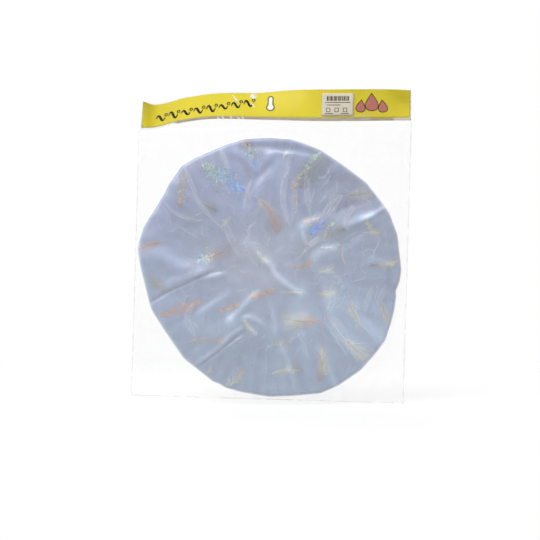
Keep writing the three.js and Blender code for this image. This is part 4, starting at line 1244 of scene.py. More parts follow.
CREASES = [
    (1.3, [(186, 168), (188, 180), (194.3, 192.5), (201.4, 208.6), (214.8, 222), (226.4, 232.7),
          (245, 242.5)]),
    (1.0, [(190, 172), (192, 181), (196.5, 191), (199, 199)]),
    (1.0, [(213.5, 150), (214, 158), (214.8, 166)]),
    (2.6, [(220.5, 149), (222.5, 158), (224, 163)]),
    (1.1, [(221, 149), (226, 163), (230, 173)]),
    (1.2, [(251.4, 180), (248.5, 191), (245, 202)]),
    (0.9, [(248.8, 183), (246.5, 193), (244, 204), (246, 208)]),
    (1.0, [(157.7, 215.7), (159, 224), (162.5, 231)]),
    (1.0, [(164, 206), (169.5, 216), (173, 227)]),
    (1.0, [(165.7, 201.4), (172, 209), (178.2, 215.7), (187, 220), (195, 222), (203, 218.4)]),
    (0.9, [(176, 226), (182, 228), (187, 232), (194, 235), (200, 239)]),
    (0.9, [(201.4, 225.5), (202, 231), (203, 234.5), (210, 237)]),
    (0.9, [(225, 204), (231, 206), (235, 209), (234, 214), (237, 218)]),
    (1.8, [(226.5, 234), (229, 240), (232.7, 248)]),
    (1.0, [(241, 228), (248.8, 233.6), (245.5, 241), (247, 249), (254, 264)]),
    (0.9, [(257, 215), (255, 223), (249, 228), (248, 234)]),
    (0.9, [(174, 249.6), (184, 256), (194.5, 263.5)]),
    (0.9, [(240, 247), (236, 252), (240, 257), (245, 252), (241, 247)]),
    (1.3, [(291.4, 156), (290, 165), (288.5, 172.5), (283.6, 180), (283.5, 196), (284.3, 210), (288, 220)]),
    (1.0, [(282.5, 167), (281.4, 176), (280.6, 192), (281.6, 207)]),
    (0.9, [(283, 168), (287, 172), (284, 176)]),
    (1.0, [(292.5, 192), (290.5, 204), (293, 210), (296.5, 202), (297, 209), (293, 215)]),
    (1.0, [(308.5, 177), (309.5, 186), (305.8, 197), (310, 201.5), (313.8, 191), (309, 188)]),
    (1.0, [(304, 199), (308.5, 207), (308.2, 216)]),
    (0.9, [(312, 202), (310.5, 209), (310, 216)]),
    (1.0, [(329, 171), (325, 177), (318.5, 178.5), (325, 179)]),
    (1.0, [(334, 163), (328, 171), (329, 179), (319, 190)]),
    (0.9, [(335, 181), (337, 185), (336.4, 190)]),
    (0.9, [(343, 193), (345, 190), (347.5, 192), (345, 195)]),
    (1.1, [(332, 197), (327, 205), (322.7, 212), (318, 219)]),
    (0.9, [(336, 199), (330, 208), (325, 216)]),
    (1.1, [(340, 199.5), (335.5, 206), (332.5, 212), (327, 224)]),
    (0.9, [(337, 205), (334.5, 212), (330, 221)]),
    (1.5, [(349.5, 206), (354.5, 209.5), (350, 215), (345.5, 221), (344, 227), (349, 229.5)]),
    (0.9, [(351.5, 208), (347.5, 216), (346.8, 225)]),
    (2.2, [(302.8, 234), (304.5, 240), (307.5, 245.5)]),
    (1.0, [(325.5, 237), (317, 243), (310, 248), (305.5, 253)]),
    (0.9, [(321, 238), (312, 244), (304, 250)]),
    (1.0, [(346.5, 237.5), (353, 234), (362, 231), (371, 226)]),
    (1.0, [(349, 241), (358, 238), (365, 233.5)]),
    (0.9, [(362, 256), (364, 251), (370, 249.5), (374, 253), (370, 257.5), (363, 256.5)]),
    (1.0, [(379, 238), (377, 246), (373, 253), (374, 262)]),
    (0.9, [(384, 230), (386, 242), (384, 252)]),
    (0.9, [(176.4, 288), (175.5, 296), (178, 303)]),
    (0.9, [(180, 287), (184, 292), (186.3, 297.5)]),
    (1.0, [(191.5, 303), (191, 310), (189, 315), (184.5, 323), (188.5, 329), (193, 333)]),
    (0.9, [(189, 319), (194, 321.5), (198.5, 327), (198, 334)]),
    (0.9, [(186, 326), (192, 323)]),
    (0.9, [(208.5, 284.5), (211, 288.5), (216, 289.5), (222, 286.5)]),
    (1.0, [(266.6, 347), (266.2, 360), (266.8, 374.5)]),
    (0.9, [(259, 340), (263, 337.5), (265, 333)]),
    (1.5, [(331, 278), (333, 282.5), (337, 283.2), (341, 280.5), (338.5, 277)]),
    (1.0, [(339, 286.5), (343.5, 284.8), (340, 289), (344.5, 287.5), (340.5, 292)]),
    (1.1, [(341, 292.5), (338.5, 295), (341.5, 298.5), (344.8, 297), (342.5, 293.5)]),
    (1.2, [(329.5, 302), (332, 306.5), (336.5, 307), (339.8, 303.5), (338, 299), (333.5, 299.5),
          (331, 302)]),
    (1.1, [(326, 303.5), (328.5, 306), (326.5, 309), (330, 311.5), (327, 315), (333.5, 318)]),
    (1.0, [(325, 309), (324.5, 316), (325.5, 322)]),
    (1.4, [(325.5, 322), (329, 328), (333, 334), (340.5, 346.5), (346, 354.5), (352.3, 362.5)]),
    (1.1, [(332, 316.5), (340.3, 322.5), (345.5, 329.5), (347.5, 335)]),
    (1.1, [(352, 363), (347, 370), (345.2, 379.5)]),
    (1.0, [(346.8, 291), (349, 297), (351.4, 301.5), (358, 309), (363.5, 315.5)]),
    (0.9, [(349.5, 277), (352, 281), (358, 280), (362.5, 279), (366, 282)]),
    (0.9, [(356, 286), (359, 287), (358, 292), (361, 296.5)]),
    (1.0, [(369.8, 289), (371, 292), (368, 298), (367, 308)]),
    (1.0, [(376, 284), (377, 291), (374, 298), (378, 301)]),
    (1.0, [(387.5, 285), (386.5, 291), (384, 296), (380, 300.5)]),
    (0.9, [(391, 281), (389.5, 290), (386, 297)]),
    (0.9, [(355, 322.5), (356, 328), (354.5, 334)]),
    (1.2, [(359.7, 321.8), (365, 328), (370, 333), (378.2, 343.5)]),
    (0.9, [(352, 303.5), (355.5, 306.5), (357, 304), (354, 302.5)]),
    (1.0, [(305, 333), (301.5, 338), (305, 346), (308, 356)]),
    (0.9, [(296, 330), (299, 337), (302, 342)]),
    (0.9, [(338, 364), (341, 366.5), (344, 364.5)]),
    (0.9, [(288.5, 388), (290.5, 392), (294, 395)]),
    (1.0, [(275.5, 383), (275.2, 394)]),
    (0.9, [(292, 385.5), (296, 390.5), (299.5, 395)]),
    (0.8, [(309, 336), (312, 340), (309.5, 343), (313, 346)]),
    (0.9, [(270, 309), (273, 313), (271, 317), (275, 321)]),
    (0.8, [(310, 258), (314, 262), (311, 268), (315, 272)]),
    (0.8, [(352, 262), (356, 266), (353, 271), (358, 275)]),
    (0.9, [(364, 262), (360, 268), (365, 274), (362, 280)]),
    (0.8, [(318, 205), (322, 200), (326, 196), (324, 190)]),
    (0.8, [(262, 228), (266, 234), (263, 240), (268, 246)]),
    (0.8, [(236, 268), (244, 272), (252, 271)]),
    (0.8, [(352, 186), (357, 190), (356, 197), (361, 201)]),
    (0.6, [(151, 304.5), (160, 299.5), (170, 293), (182, 287.5)]),
    (0.7, [(203, 365), (213, 357), (226, 347), (239, 338), (249, 334), (256, 332)]),
]

# Broader ribbons where the film is pressed flat between two creases: width and line of each
RIBBONS = [
    (4, [(185, 166), (192, 185), (198, 201), (207, 213), (222, 228)]),
    (5, [(221, 148), (225, 160), (230, 174)]),
    (3, [(251, 180), (248, 191), (245, 204)]),
    (3, [(164, 202), (178, 215), (202, 221)]),
    (7, [(224, 220), (231, 238), (240, 256)]),
    (6, [(289, 156), (286, 175), (283, 195), (285, 213), (291, 226)]),
    (5, [(296, 190), (294, 205), (292, 222)]),
    (6, [(306, 175), (307, 195), (310, 216)]),
    (7, [(342, 196), (330, 208), (320, 224)]),
    (6, [(353, 205), (347, 218), (347, 231)]),
    (4, [(302, 231), (304, 239), (308, 248)]),
    (6, [(195, 302), (188, 318), (196, 336)]),
    (8, [(330, 284), (334, 296), (328, 312)]),
    (5, [(372, 286), (368, 298), (364, 312)]),
    (4, [(386, 284), (380, 296), (377, 306)]),
    (4, [(320, 236), (311, 244), (302, 254)]),
]
# Section of a ridge: the place across its width, and the share of its height
RIDGE = [(-0.5, 0.0), (-0.36, 1.0), (-0.2, 0.45), (0.2, 0.45), (0.36, 1.0), (0.5, 0.0)]
RIDGE_SEAT, RIDGE_END, RIDGE_TAPER = 0.02, 0.12, 0.5
CREASE_SPREAD, CREASE_HEIGHT = 1.5, 0.3
RIBBON_SPREAD, RIBBON_HEIGHT, RIBBON_TAPER = 1.1, 0.25, 0.7
EDGE_SPREAD, EDGE_WIDTH, EDGE_HEIGHT = 0.4, 1.4, 0.35
WISPS, WISP_SEED, WISP_REACH, WISP_STEP, WISP_HEIGHT = 90, 17, 102, 3.2, 0.2
WISP_INNER, WISP_STEPS, WISP_WIDTH, WISP_TURN, WISP_STRAY = 0.01, (4, 9), (0.9, 1.7), 0.2, 0.25


def ridge(line, width, height, place):
    """Thin raised ridge along a flat line; place lays a point with a lift on its carrier"""
    cross = sides_of(line)
    taper = np.sin(np.linspace(RIDGE_END, math.pi - RIDGE_END, len(line))) ** RIDGE_TAPER
    rows = []
    for off, lift in RIDGE:
        p = line + cross * (off * width * taper)[:, None]
        rows.append(place(p[:, 0], p[:, 1], lift * height * taper))
    return np.vstack(rows), grid_faces(len(RIDGE), len(line))


def ridges(table, spread, height, place):
    return [ridge(smooth_line(line), spread * width, height, place) for width, line in table]


def on_film(u, v, lift):
    """Points on the front film at face places, lifted off it by millimetres"""
    x, z = unhang(*face_mm(u, v))
    return hang(x, -film_at(x, z) - FILM / 2 - RIDGE_SEAT - lift, z)


def ribbon(width, line):
    """Low ridge with a narrow one along each side"""
    path = smooth_line(line)
    swell = np.sin(np.linspace(0, math.pi, len(path)))[:, None] ** RIBBON_TAPER
    off = EDGE_SPREAD * width * swell * sides_of(path)
    edges = [ridge(path + side * off, EDGE_WIDTH, EDGE_HEIGHT, on_film) for side in (-1, 1)]
    return [ridge(path, RIBBON_SPREAD * width, RIBBON_HEIGHT, on_film)] + edges


def wisps():
    """Width and line of fine wrinkles that wander over the cap"""
    pick = random.Random(WISP_SEED)
    rows = []
    for _ in range(WISPS):
        angle, reach = pick.uniform(0, TAU), WISP_REACH * math.sqrt(pick.uniform(WISP_INNER, 1))
        heading, turn = pick.uniform(0, TAU), pick.gauss(0, WISP_TURN)
        path = [off_centre(reach, angle)]
        for _ in range(pick.randint(*WISP_STEPS)):
            heading += turn + pick.gauss(0, WISP_STRAY)
            path.append(path[-1] + WISP_STEP * np.array([math.cos(heading), math.sin(heading)]))
        rows.append((pick.uniform(*WISP_WIDTH), path))
    return rows


shape = gather(ridges(CREASES, CREASE_SPREAD, CREASE_HEIGHT, on_film))
make("film_creases", shape, "pack", crease_film)
shape = gather([part for row in RIBBONS for part in ribbon(*row)])
make("film_ribbons", shape, "pack", ribbon_film)
make("film_wisps", gather(ridges(wisps(), 1.0, WISP_HEIGHT, on_film)), "pack", wisp_film)


# Lip over the mouth, with its sticky strip

LIP_COLUMNS, LIP_ROWS, TACK_ROWS = 90, 6, 4
LIP_WAVE, LIP_WAVELENGTH = 0.15, 9


def lip_strip(inset, low, high, behind, rows):
    x, up = grid(BAG_LEFT + inset, BAG_RIGHT - inset, LIP_COLUMNS, rows)
    z = mouth_height(x) + low + (high - low) * up
    y = behind - pouch_depth(x, CAP_Z, 0.0) - FILM / 2 - LIP_WAVE * up * np.sin(x / LIP_WAVELENGTH)
    return hang(x, y, z).reshape(-1, 3), grid_faces(*x.shape)


strip = lip_strip(LIP_INSET, GAP, LIP_HEIGHT, 0.0, LIP_ROWS)
make("mouth_lip", strip, "lip", header_film, "closure_lip")
top = LIP_HEIGHT - GAP
strip = lip_strip(LIP_INSET + TACK_INSET, top - TACK_HEIGHT, top, TACK_BEHIND, TACK_ROWS)
make("sticky_strip", strip, "lip", tack, "adhesive_strip")


# Header: card between two films, the seal below it, the sticker and the print

CARD_SPACING, FILM_SPACING, SLOT_STEPS = 2.0, 2.5, 14
SEAL_GRID, SEAL_RIBS, SEAL_FRONT, SEAL_LAP, SEAL_BACK = (220, 31), 5, -0.25, -0.04, 0.4
END_GRID, END_HALF, END_FRONT = (3, 24), 0.6, -0.1
INNER_CLEARANCE, MERGE_WITHIN = 0.5, 1e-5
# Dents of the header, in millimetres: where each begins and over how much it grows
RIGHT_DENTS, UPPER_DENTS, LEFT_BEND = (118, 26), (6, 14), (112, 20)
DENT_DEPTH, DENT_SLANT, DENT_MIDDLE, DENT_PITCH = 0.5, 0.55, 130, 3.1
BEND_DEPTH, BEND_RISE, BEND_RUN = 0.35, 7, 9
HEADER_SWELL, HEADER_WAVES = 0.22, (6, 30, 70, 41)
# Painted shade of the yellow at its ends, darker edges and tone: how strong, and where along the header or up
# it in millimetres
CURL_PAINTED_SHADE, CURL_X, CURL_WIDTH = 0.7, -127, 5
LEFT_PAINTED_SHADE, LEFT_DEEP, RIGHT_PAINTED_SHADE, RIGHT_DEEP, UPPER_DEEP = 0.4, (126, 5), 0.7, (120, 22), (8, 14)
BORDER_SHADE, BORDER_FADE = 0.25, 2.2
SUN_SHARE, SUN_WAVES = 0.35, (6, 30, 90, 51)
# Painted light in the middle of the yellow, and painted shade towards its left end
GLOW, GLOW_X, GLOW_WIDTH, DIM_X, DIM_WIDTH = 0.1, 42, 38, -112, 16
# Seal: its ribs, its pale right end and its clear left end
RIB_DEPTH, RIB_SHADE, SEAL_STRETCH, SEAL_WAVES = 0.1, 0.6, 9, (8, 5, 20, 61)
PALE_END, CLEAR_END, CLEAR_RUN, CLEAR_SHARE, CLEAR_WAVER = (131, 3), -97, 5, 0.93, 2


def buckle(x, h):
    """Small dents that all the header's layers share: creases at the right, a bend at the left"""
    creases = DENT_DEPTH * np.sin((h + DENT_SLANT * (x - DENT_MIDDLE)) / DENT_PITCH)
    creases = creases * onset(x, *RIGHT_DENTS) * onset(h, *UPPER_DENTS)
    bend = BEND_DEPTH * np.sin(h / BEND_RISE + x / BEND_RUN) * onset(-x, *LEFT_BEND)
    return creases + bend + HEADER_SWELL * ripple(x, h, *HEADER_WAVES)


def header_point(x, h, back):
    """Point of the header: h along its leaning face from its lower edge, back square to that face"""
    lean = header_lean(x)
    back = back + buckle(x, h)
    return hang(x, h * np.sin(lean) + back * np.cos(lean), seam(x) + h * np.cos(lean) - back * np.sin(lean))


def header_place(u, v):
    """Face place as a flat point of the header"""
    x, z = unhang(*face_mm(u, v))
    return np.stack([x, (z - seam(x)) / np.cos(header_lean(x))], -1)


def keyhole(grow=0.0):
    """Outline of the hang hole in the header's own plane"""
    half, radius = SLOT_WIDTH / 2 + grow, HOLE_RADIUS + grow
    join = math.asin(half / radius)
    low = np.linspace(math.pi / 2 + join, math.pi / 2 + TAU - join, 2 * SLOT_STEPS)
    high = np.linspace(0, math.pi, SLOT_STEPS)
    top = HOLE_RISE + SLOT_RISE - SLOT_WIDTH / 2
    return np.vstack([np.stack([radius * np.cos(low), HOLE_RISE + radius * np.sin(low)], 1),
                      np.stack([half * np.cos(high), top + half * np.sin(high)], 1)])


def rectangle(left, right, low, high, step):
    """Outline of a rectangle with points along its edges"""
    corners = np.array([(left, low), (right, low), (right, high), (left, high)])
    sides = []
    for a, b in zip(corners, np.roll(corners, -1, axis=0)):
        count = max(1, round(np.hypot(*(b - a)) / step))
        sides.append(a + (b - a) * np.arange(count)[:, None] / count)
    return np.vstack(sides)


def within(points, rings):
    """Which points lie inside an odd number of rings"""
    x, y = points.T[:, :, None]
    inside = np.zeros(len(points), bool)
    for ring in rings:
        (ax, ay), (bx, by) = ring.T, np.roll(ring, -1, axis=0).T
        rise = np.where(by == ay, 1, by - ay)
        crossed = ((ay > y) != (by > y)) & (x < ax + (bx - ax) * (y - ay) / rise)
        inside ^= crossed.sum(1) % 2 == 1
    return inside


def filled(outline, spacing, holes=()):
    """Triangles that fill a flat outline, with points at a spacing inside it, leaving out its holes"""
    rings = [outline, *holes]
    border, edges, first = np.vstack(rings), [], 0
    for ring in rings:
        edges += [(first + k, first + (k + 1) % len(ring)) for k in range(len(ring))]
        first += len(ring)
    low = outline.min(0)
    counts = ((outline.max(0) - low) / spacing).astype(int)
    i, j = np.meshgrid(np.arange(1, counts[0] + 1), np.arange(1, counts[1] + 1), indexing="ij")
    inner = low + spacing * np.stack([i.ravel(), j.ravel()], 1)
    clearance = np.hypot(*(inner[:, None] - border[None]).transpose(2, 0, 1)).min(1)
    inner = inner[(clearance >= INNER_CLEARANCE * spacing) & within(inner, rings)]
    made = delaunay_2d_cdt([Vector(p) for p in np.vstack([border, inner])], edges, [], 0, MERGE_WITHIN)
    points, triangles = np.array([tuple(p) for p in made[0]]), np.array(made[2])
    kept = triangles[within(points[triangles].mean(1), rings)]
    return points, [tuple(t) for t in kept.tolist()]


def header_slab(flat, triangles, front, thickness):
    """Closed sheet of the header over a flat triangulation"""
    return closed(*(header_point(*flat.T, back) for back in (front, front + thickness)), triangles)


def card_tint(x, h):
    """Yellow of the card: painted shade at the two ends, painted light in the middle, and darker along the
    edges
    """
    deep = CURL_PAINTED_SHADE * hump(x - CURL_X, CURL_WIDTH) + LEFT_PAINTED_SHADE * onset(-x, *LEFT_DEEP)
    deep += RIGHT_PAINTED_SHADE * onset(x, *RIGHT_DEEP) * onset(h, *UPPER_DEEP)
    inside = np.minimum(h - CARD_MARGIN, HEADER_HEIGHT - CARD_MARGIN - h)
    edge = BORDER_SHADE * np.clip(1 - inside / BORDER_FADE, 0, 1)
    base = shaded(YELLOW, SUN, SUN_SHARE * as_share(ripple(x, h, *SUN_WAVES)))
    base[:, :3] *= (1 + GLOW * hump(x - GLOW_X, GLOW_WIDTH) - GLOW * hump(x - DIM_X, DIM_WIDTH))[:, None]
    return shaded(base, MUSTARD, np.clip(deep + edge, 0, 1))


def seal_strip():
    """Ribbed weld that laps onto the header, with its tints; its left end is clear"""
    x, up = grid(BAG_LEFT, BAG_RIGHT, *SEAL_GRID)
    h = -SEAL_HEIGHT + (SEAL_HEIGHT + CARD_MARGIN) * up
    crest = np.cos(TAU * SEAL_RIBS * up)
    ribs = RIB_DEPTH * crest + SEAL_FRONT
    over = (h > 0)[..., None]
    front = np.where(over, header_point(x, h, ribs), hang(x, ribs, seam(x) + h)).reshape(-1, 3)
    back = np.where(over, header_point(x, h, SEAL_LAP), hang(x, SEAL_BACK, seam(x) + h)).reshape(-1, 3)
    patches = as_share(ripple(x, up * SEAL_STRETCH, *SEAL_WAVES))
    line = RIB_SHADE * as_share(crest) + (1 - RIB_SHADE) * patches
    tints = shaded(shaded(SEAL_DARK, SEAL_LIGHT, line), SEAL_CLEAR, onset(x, *PALE_END))
    border = CLEAR_END - x + CLEAR_WAVER * np.sin(SEAL_STRETCH * up)
    tints[..., 3] = 1 - CLEAR_SHARE * onset(border, 0, CLEAR_RUN)
    return closed(front, back, grid_faces(*x.shape)), np.tile(tints.reshape(-1, 4), (2, 1))


def header_end(x):
    """Brownish melted edge up one end of the header"""
    across, up = grid(x - END_HALF, x + END_HALF, *END_GRID)
    return header_point(across, HEADER_HEIGHT * up, END_FRONT).reshape(-1, 3), grid_faces(*up.shape)


outline = rectangle(BAG_LEFT + CARD_MARGIN, BAG_RIGHT - CARD_MARGIN, CARD_MARGIN, HEADER_HEIGHT - CARD_MARGIN,
                    CARD_SPACING)
flat, triangles = filled(outline, CARD_SPACING, [keyhole()])
slab = header_slab(flat, triangles, CARD_FRONT, CARD_THICKNESS)
make("yellow_card", slab, "pack", card, "header_card", np.tile(card_tint(*flat.T), (2, 1)))
outline = rectangle(BAG_LEFT, BAG_RIGHT, 0, HEADER_HEIGHT, FILM_SPACING)
flat, triangles = filled(outline, FILM_SPACING, [keyhole()])
for name, node, front in (("header_front", "header_front_film", 0.0),
                          ("header_rear", "header_back_film", HEADER_BACK)):
    make(name, header_slab(flat, triangles, front, FILM), "pack", header_film, node)
shape, tints = seal_strip()
make("welded_seal", shape, "pack", sealing, "header_seal", tints)
shape = gather([header_end(BAG_LEFT + END_HALF), header_end(BAG_RIGHT - END_HALF)])
make("header_ends", shape, "pack", melt)


# Print on the header and the sticker: generic marks, and a ring of painted shade round the keyhole

HOLE_SHADE_IN, HOLE_SHADE_OUT, HOLE_SHADE_BACK = 0.3, 0.7, -0.06
WAVES, WAVE_STEPS, WAVE_START, WAVE_PITCH, WAVE_LENGTH = 8, 30, 160, 12.6, 9.2
WAVE_FOOT, WAVE_CLIMB, CLIMB_POWER = 117.0, 15.0, 0.8
WAVE_HEIGHT, WAVE_VARIES, WAVE_TURN, WAVE_TILT = 3.1, 0.6, 2.1, 2.2
BRUSH_THIN, BRUSH_SWELL, BRUSH_POWER = 0.7, 1.9, 0.8
BUBBLE_STEPS, BUBBLE_RADIUS, BUBBLE_WIDTH, BUBBLE_RIGHT, BUBBLE_RISE = 20, 1.3, 1.1, 5.4, 3.6
DROPS = [(361, 105.5, 6.6, 0.12), (372, 101.5, 9.4, 0.0), (383, 105.5, 6.6, -0.12)]
DROP_STEPS, DROP_SPACING, DROP_EDGE, DROP_TALL, DROP_POINT = 40, 1.2, 0.8, 0.95, 1.5
# Shine of a drop: its arc in radians, and its radius and drop below the middle as shares of the size
SHINE_STEPS, SHINE_WIDTH, SHINE_ARC, SHINE_RADIUS, SHINE_DROP = 12, 0.9, (2.6, 4.2), 0.42, 0.25
SHINE_TAPER = (0.1, 3.04)
# Places on the sticker from its left end: bars, rules as low, left and right, and the sides of a square
BARS, BAR_START, BAR_PITCH, BAR_WIDTHS, BAR_LOW, BAR_HIGH = 16, 5.2, 1.5, (1.1, 0.6, 0.9), 19.4, 24.4
RULES = [(17.3, 3.4, 30.6), (14.6, 5.0, 20.0), (5.4, 3.6, 12.0), (5.4, 20.4, 29.2)]
RULE_HEIGHT, SQUARES, SQUARE_START, SQUARE_PITCH = 0.7, 3, 7.0, 9.0
SQUARE = [(-2.2, 2.2, 7.4, 8.0), (-2.2, 2.2, 11.4, 12.0), (-2.2, -1.6, 7.4, 12.0), (1.6, 2.2, 7.4, 12.0)]
LABEL_PRINT, LABEL_STEPS, PAPER_WAVES = -GAP - 0.26, 8, (6, 10, 30, 71)


def stroke(line, widths, back):
    """Flat brush stroke along a line of the header"""
    arm = sides_of(line) * np.broadcast_to(widths, len(line))[:, None] / 2
    p = np.vstack([line + arm, line - arm])
    return header_point(*p.T, back), grid_faces(2, len(line))


def printed(name, parts, color):
    make(name, gather(parts), "pack", ink, tints=color)


def wave_print():
    """Row of brushed waves and bubbles that climbs with the header"""
    parts = []
    t, a = np.linspace(0, 1, WAVE_STEPS), np.linspace(0, TAU, BUBBLE_STEPS)
    for k in range(WAVES):
        u = WAVE_START + k * WAVE_PITCH
        v = WAVE_FOOT - WAVE_CLIMB * (k / (WAVES - 1)) ** CLIMB_POWER
        tall = WAVE_HEIGHT + WAVE_VARIES * math.sin(WAVE_TURN * k)
        line = header_place(u + WAVE_LENGTH * (t - 0.5), v - tall * np.sin(TAU * t) - WAVE_TILT * (t - 0.5))
        widths = BRUSH_THIN + BRUSH_SWELL * np.sin(np.pi * t) ** BRUSH_POWER
        parts.append(stroke(line, widths, PRINT_BACK))
        across, down = BUBBLE_RADIUS * np.cos(a), BUBBLE_RADIUS * np.sin(a)
        ring = header_place(u + BUBBLE_RIGHT + across, v - BUBBLE_RISE + down)
        parts.append(stroke(ring, BUBBLE_WIDTH, PRINT_BACK))
    return parts


def drop_outline(u, v, size, lean):
    """Outline of a water drop, point up"""
    a = TAU * np.arange(DROP_STEPS) / DROP_STEPS
    x, y = size * np.sin(a) * np.sin(a / 2) ** DROP_POINT, -DROP_TALL * size * np.cos(a)
    across, down = math.cos(lean), math.sin(lean)
    return header_place(u + x * across - y * down, v + x * down + y * across)


def drop_print():
    """Fills, edges and shines of the drops"""
    fills, edges, shines = [], [], []
    a = np.linspace(*SHINE_ARC, SHINE_STEPS)
    widths = SHINE_WIDTH * np.sin(np.linspace(*SHINE_TAPER, SHINE_STEPS))
    for u, v, size, lean in DROPS:
        outline = drop_outline(u, v, size, lean)
        flat, triangles = filled(outline, DROP_SPACING)
        fills.append((header_point(*flat.T, PRINT_BACK), triangles))
        edges.append(stroke(np.vstack([outline, outline[:1]]), DROP_EDGE, PRINT_BACK - PRINT_LAYER))
        radius = SHINE_RADIUS * size
        arc = header_place(u + radius * np.cos(a), v + SHINE_DROP * size + radius * np.sin(a))
        shines.append(stroke(arc, widths, PRINT_BACK - PRINT_LAYER))
    return fills, edges, shines


def label_box(left, right, low, high):
    middle = (low + high) / 2
    line = np.linspace((LABEL_START + left, middle), (LABEL_START + right, middle), LABEL_STEPS)
    return stroke(line, high - low, LABEL_PRINT)


def label_print():
    """Even bars, ruled lines and plain squares"""
    starts = [BAR_START + BAR_PITCH * k for k in range(BARS)]
    parts = [label_box(left, left + wide, BAR_LOW, BAR_HIGH) for left, wide in zip(starts, cycle(BAR_WIDTHS))]
    parts += [label_box(left, right, low, low + RULE_HEIGHT) for low, left, right in RULES]
    for k in range(SQUARES):
        middle = SQUARE_START + SQUARE_PITCH * k
        parts += [label_box(middle + left, middle + right, low, high) for left, right, low, high in SQUARE]
    return parts


# Dark ring just inside and outside the keyhole's edge: painted shade for the dark of the hole
rings = [np.vstack([ring, ring[:1]]) for ring in (keyhole(-HOLE_SHADE_IN), keyhole(HOLE_SHADE_OUT))]
shape = header_point(*np.vstack(rings).T, HOLE_SHADE_BACK), grid_faces(2, len(rings[0]))
make("hole_painted_shade", shape, "pack", ink, tints=HOLE_SHADE_BLACK)
printed("wave_print", wave_print(), SOOT)
for name, parts, color in zip(("drop_print", "drop_edges", "drop_shine"), drop_print(), (PINK, DARK, ROSE)):
    printed(name, parts, color)
outline = rectangle(LABEL_START, LABEL_START + LABEL_WIDTH, LABEL_RISE, LABEL_RISE + LABEL_HEIGHT,
                    CARD_SPACING)
flat, triangles = filled(outline, CARD_SPACING)
slab = header_slab(flat, triangles, -GAP - LABEL_THICKNESS, LABEL_THICKNESS)
tints = np.tile(shaded(PAPER_DARK, PAPER_LIGHT, as_share(ripple(*flat.T, *PAPER_WAVES))), (2, 1))
make("sticker", slab, "pack", paper, "price_label", tints)
printed("sticker_print", label_print(), LABEL_INK)

# Painted glints, in near-white film, where the header's film and the seal are creased: width and line of each
GLINTS = [
    (1.5, [(232, 93.5), (235, 97), (238, 101.5)]), (4.2, [(250.5, 92.6), (253.5, 95.2), (256.5, 93)]),
    (1.4, [(251.5, 102), (252.8, 104), (254.5, 106.5)]),
]
SEAL_GLINTS = [
    (1.6, [(217.2, 116.6), (218.4, 118), (219.6, 118.8)]),
    (1.8, [(222.2, 116.2), (223.4, 118.2), (223.8, 119.6)]),
    (2.0, [(230, 115.8), (231.2, 117.2), (231, 119.6)]),
    (1.6, [(237, 116.8), (238.6, 117.8), (240, 118.4)]),
    (1.2, [(241.5, 116), (243, 118), (244.6, 119.8)]), (0.8, [(278, 117.2), (278.6, 119.6)]),
]
GLINT_FRONT, GLINT_HEIGHT = -0.04, 0.25
SEAL_GLINT_FRONT, SEAL_GLINT_HEIGHT = -0.4, 0.2


def on_seal(u, v, lift):
    x, z = unhang(*face_mm(u, v))
    return hang(x, SEAL_GLINT_FRONT - lift, z)


def on_front(u, v, lift):
    return header_point(*header_place(u, v).T, GLINT_FRONT - lift)


glints = ridges(GLINTS, 1.0, GLINT_HEIGHT, on_front) + ridges(SEAL_GLINTS, 1.0, SEAL_GLINT_HEIGHT, on_seal)
make("header_glints", gather(glints), "pack", glint_film)


# Stage: pale floor, soft lamps and a white surround

FLOOR_SIZE, FLOOR_DROP, FLOOR_TONE = 6.0, 0.002, 0.98
SHADOW_NEAR, SHADOW_FAR, SHADOW_SHARE = 0.15, 0.8, 0.35
WORLD_FILL = 0.62


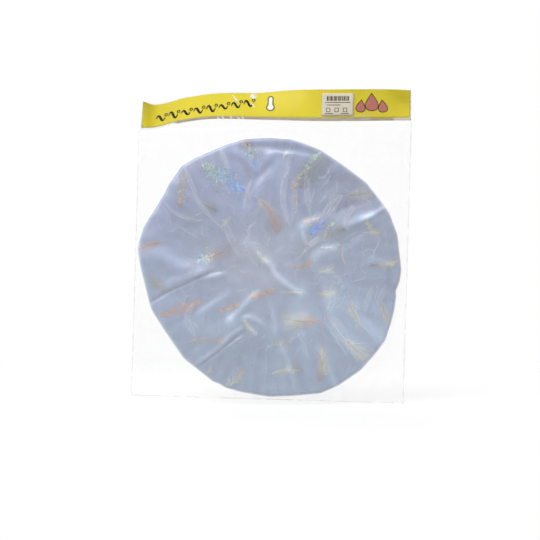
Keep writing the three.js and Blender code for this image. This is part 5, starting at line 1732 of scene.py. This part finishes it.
def seen_white(mat):
    """1 for the rays by which the surround itself is seen, straight, mirrored or through film"""
    path = add(mat, "ShaderNodeLightPath")
    seen = calc(mat, "MAXIMUM", path.outputs["Is Camera Ray"], path.outputs["Is Glossy Ray"])
    return calc(mat, "MAXIMUM", seen, path.outputs["Is Transmission Ray"])


def floor_material(height):
    """White as it is seen, and paint that takes the shadow near the pack"""
    mat = material("floor")
    glow = add(mat, "ShaderNodeEmission", {"Color": WHITE, "Strength": seen_white(mat)}).outputs[0]
    paint = add(mat, "ShaderNodeBsdfDiffuse", {"Color": grey(FLOOR_TONE)}).outputs[0]
    share = smooth_range(mat, distance_to(mat, (0, 0, height)), SHADOW_NEAR, SHADOW_FAR, SHADOW_SHARE)
    return output(mat, mix_shaders(mat, share, glow, paint))


floor_z = cad_box[0][2] - FLOOR_DROP
corners = [(x * FLOOR_SIZE, y * FLOOR_SIZE, floor_z) for x, y in ((-1, -1), (1, -1), (1, 1), (-1, 1))]
floor_mesh = bpy.data.meshes.new("floor")
floor_mesh.from_pydata(corners, [], [(0, 1, 2, 3)])
floor_mesh.materials.append(floor_material(floor_z))
floor = bpy.data.objects.new("floor", floor_mesh)
scene.collection.objects.link(floor)

world = bpy.data.worlds.new("surround")
scene.world = world
world.use_nodes = True
world.node_tree.nodes.clear()
strength = calc(world, "MULTIPLY_ADD", seen_white(world), 1 - WORLD_FILL, WORLD_FILL)
sky = add(world, "ShaderNodeBackground", {"Color": WHITE, "Strength": strength})
add(world, "ShaderNodeOutputWorld", {"Surface": sky.outputs[0]})


def lamp(name, place, size, power, mirrored=True):
    light = bpy.data.lights.new(name, "AREA")
    light.size = size
    light.energy = power
    holder = bpy.data.objects.new(name, light)
    scene.collection.objects.link(holder)
    holder.location = place
    aim = Vector((CENTRE[0] * MM, 0, CENTRE[2] * MM)) - Vector(place)
    holder.rotation_euler = aim.to_track_quat("-Z", "Y").to_euler()
    holder.visible_glossy = mirrored


lamp("key", (-1.2, -2.0, 1.6), 2.0, 55)
lamp("fill", (1.4, -1.6, -0.55), 1.4, 13, mirrored=False)
lamp("rear", (-0.5, 1.4, 0.7), 1.4, 14)

scene.view_settings.view_transform = "Standard"
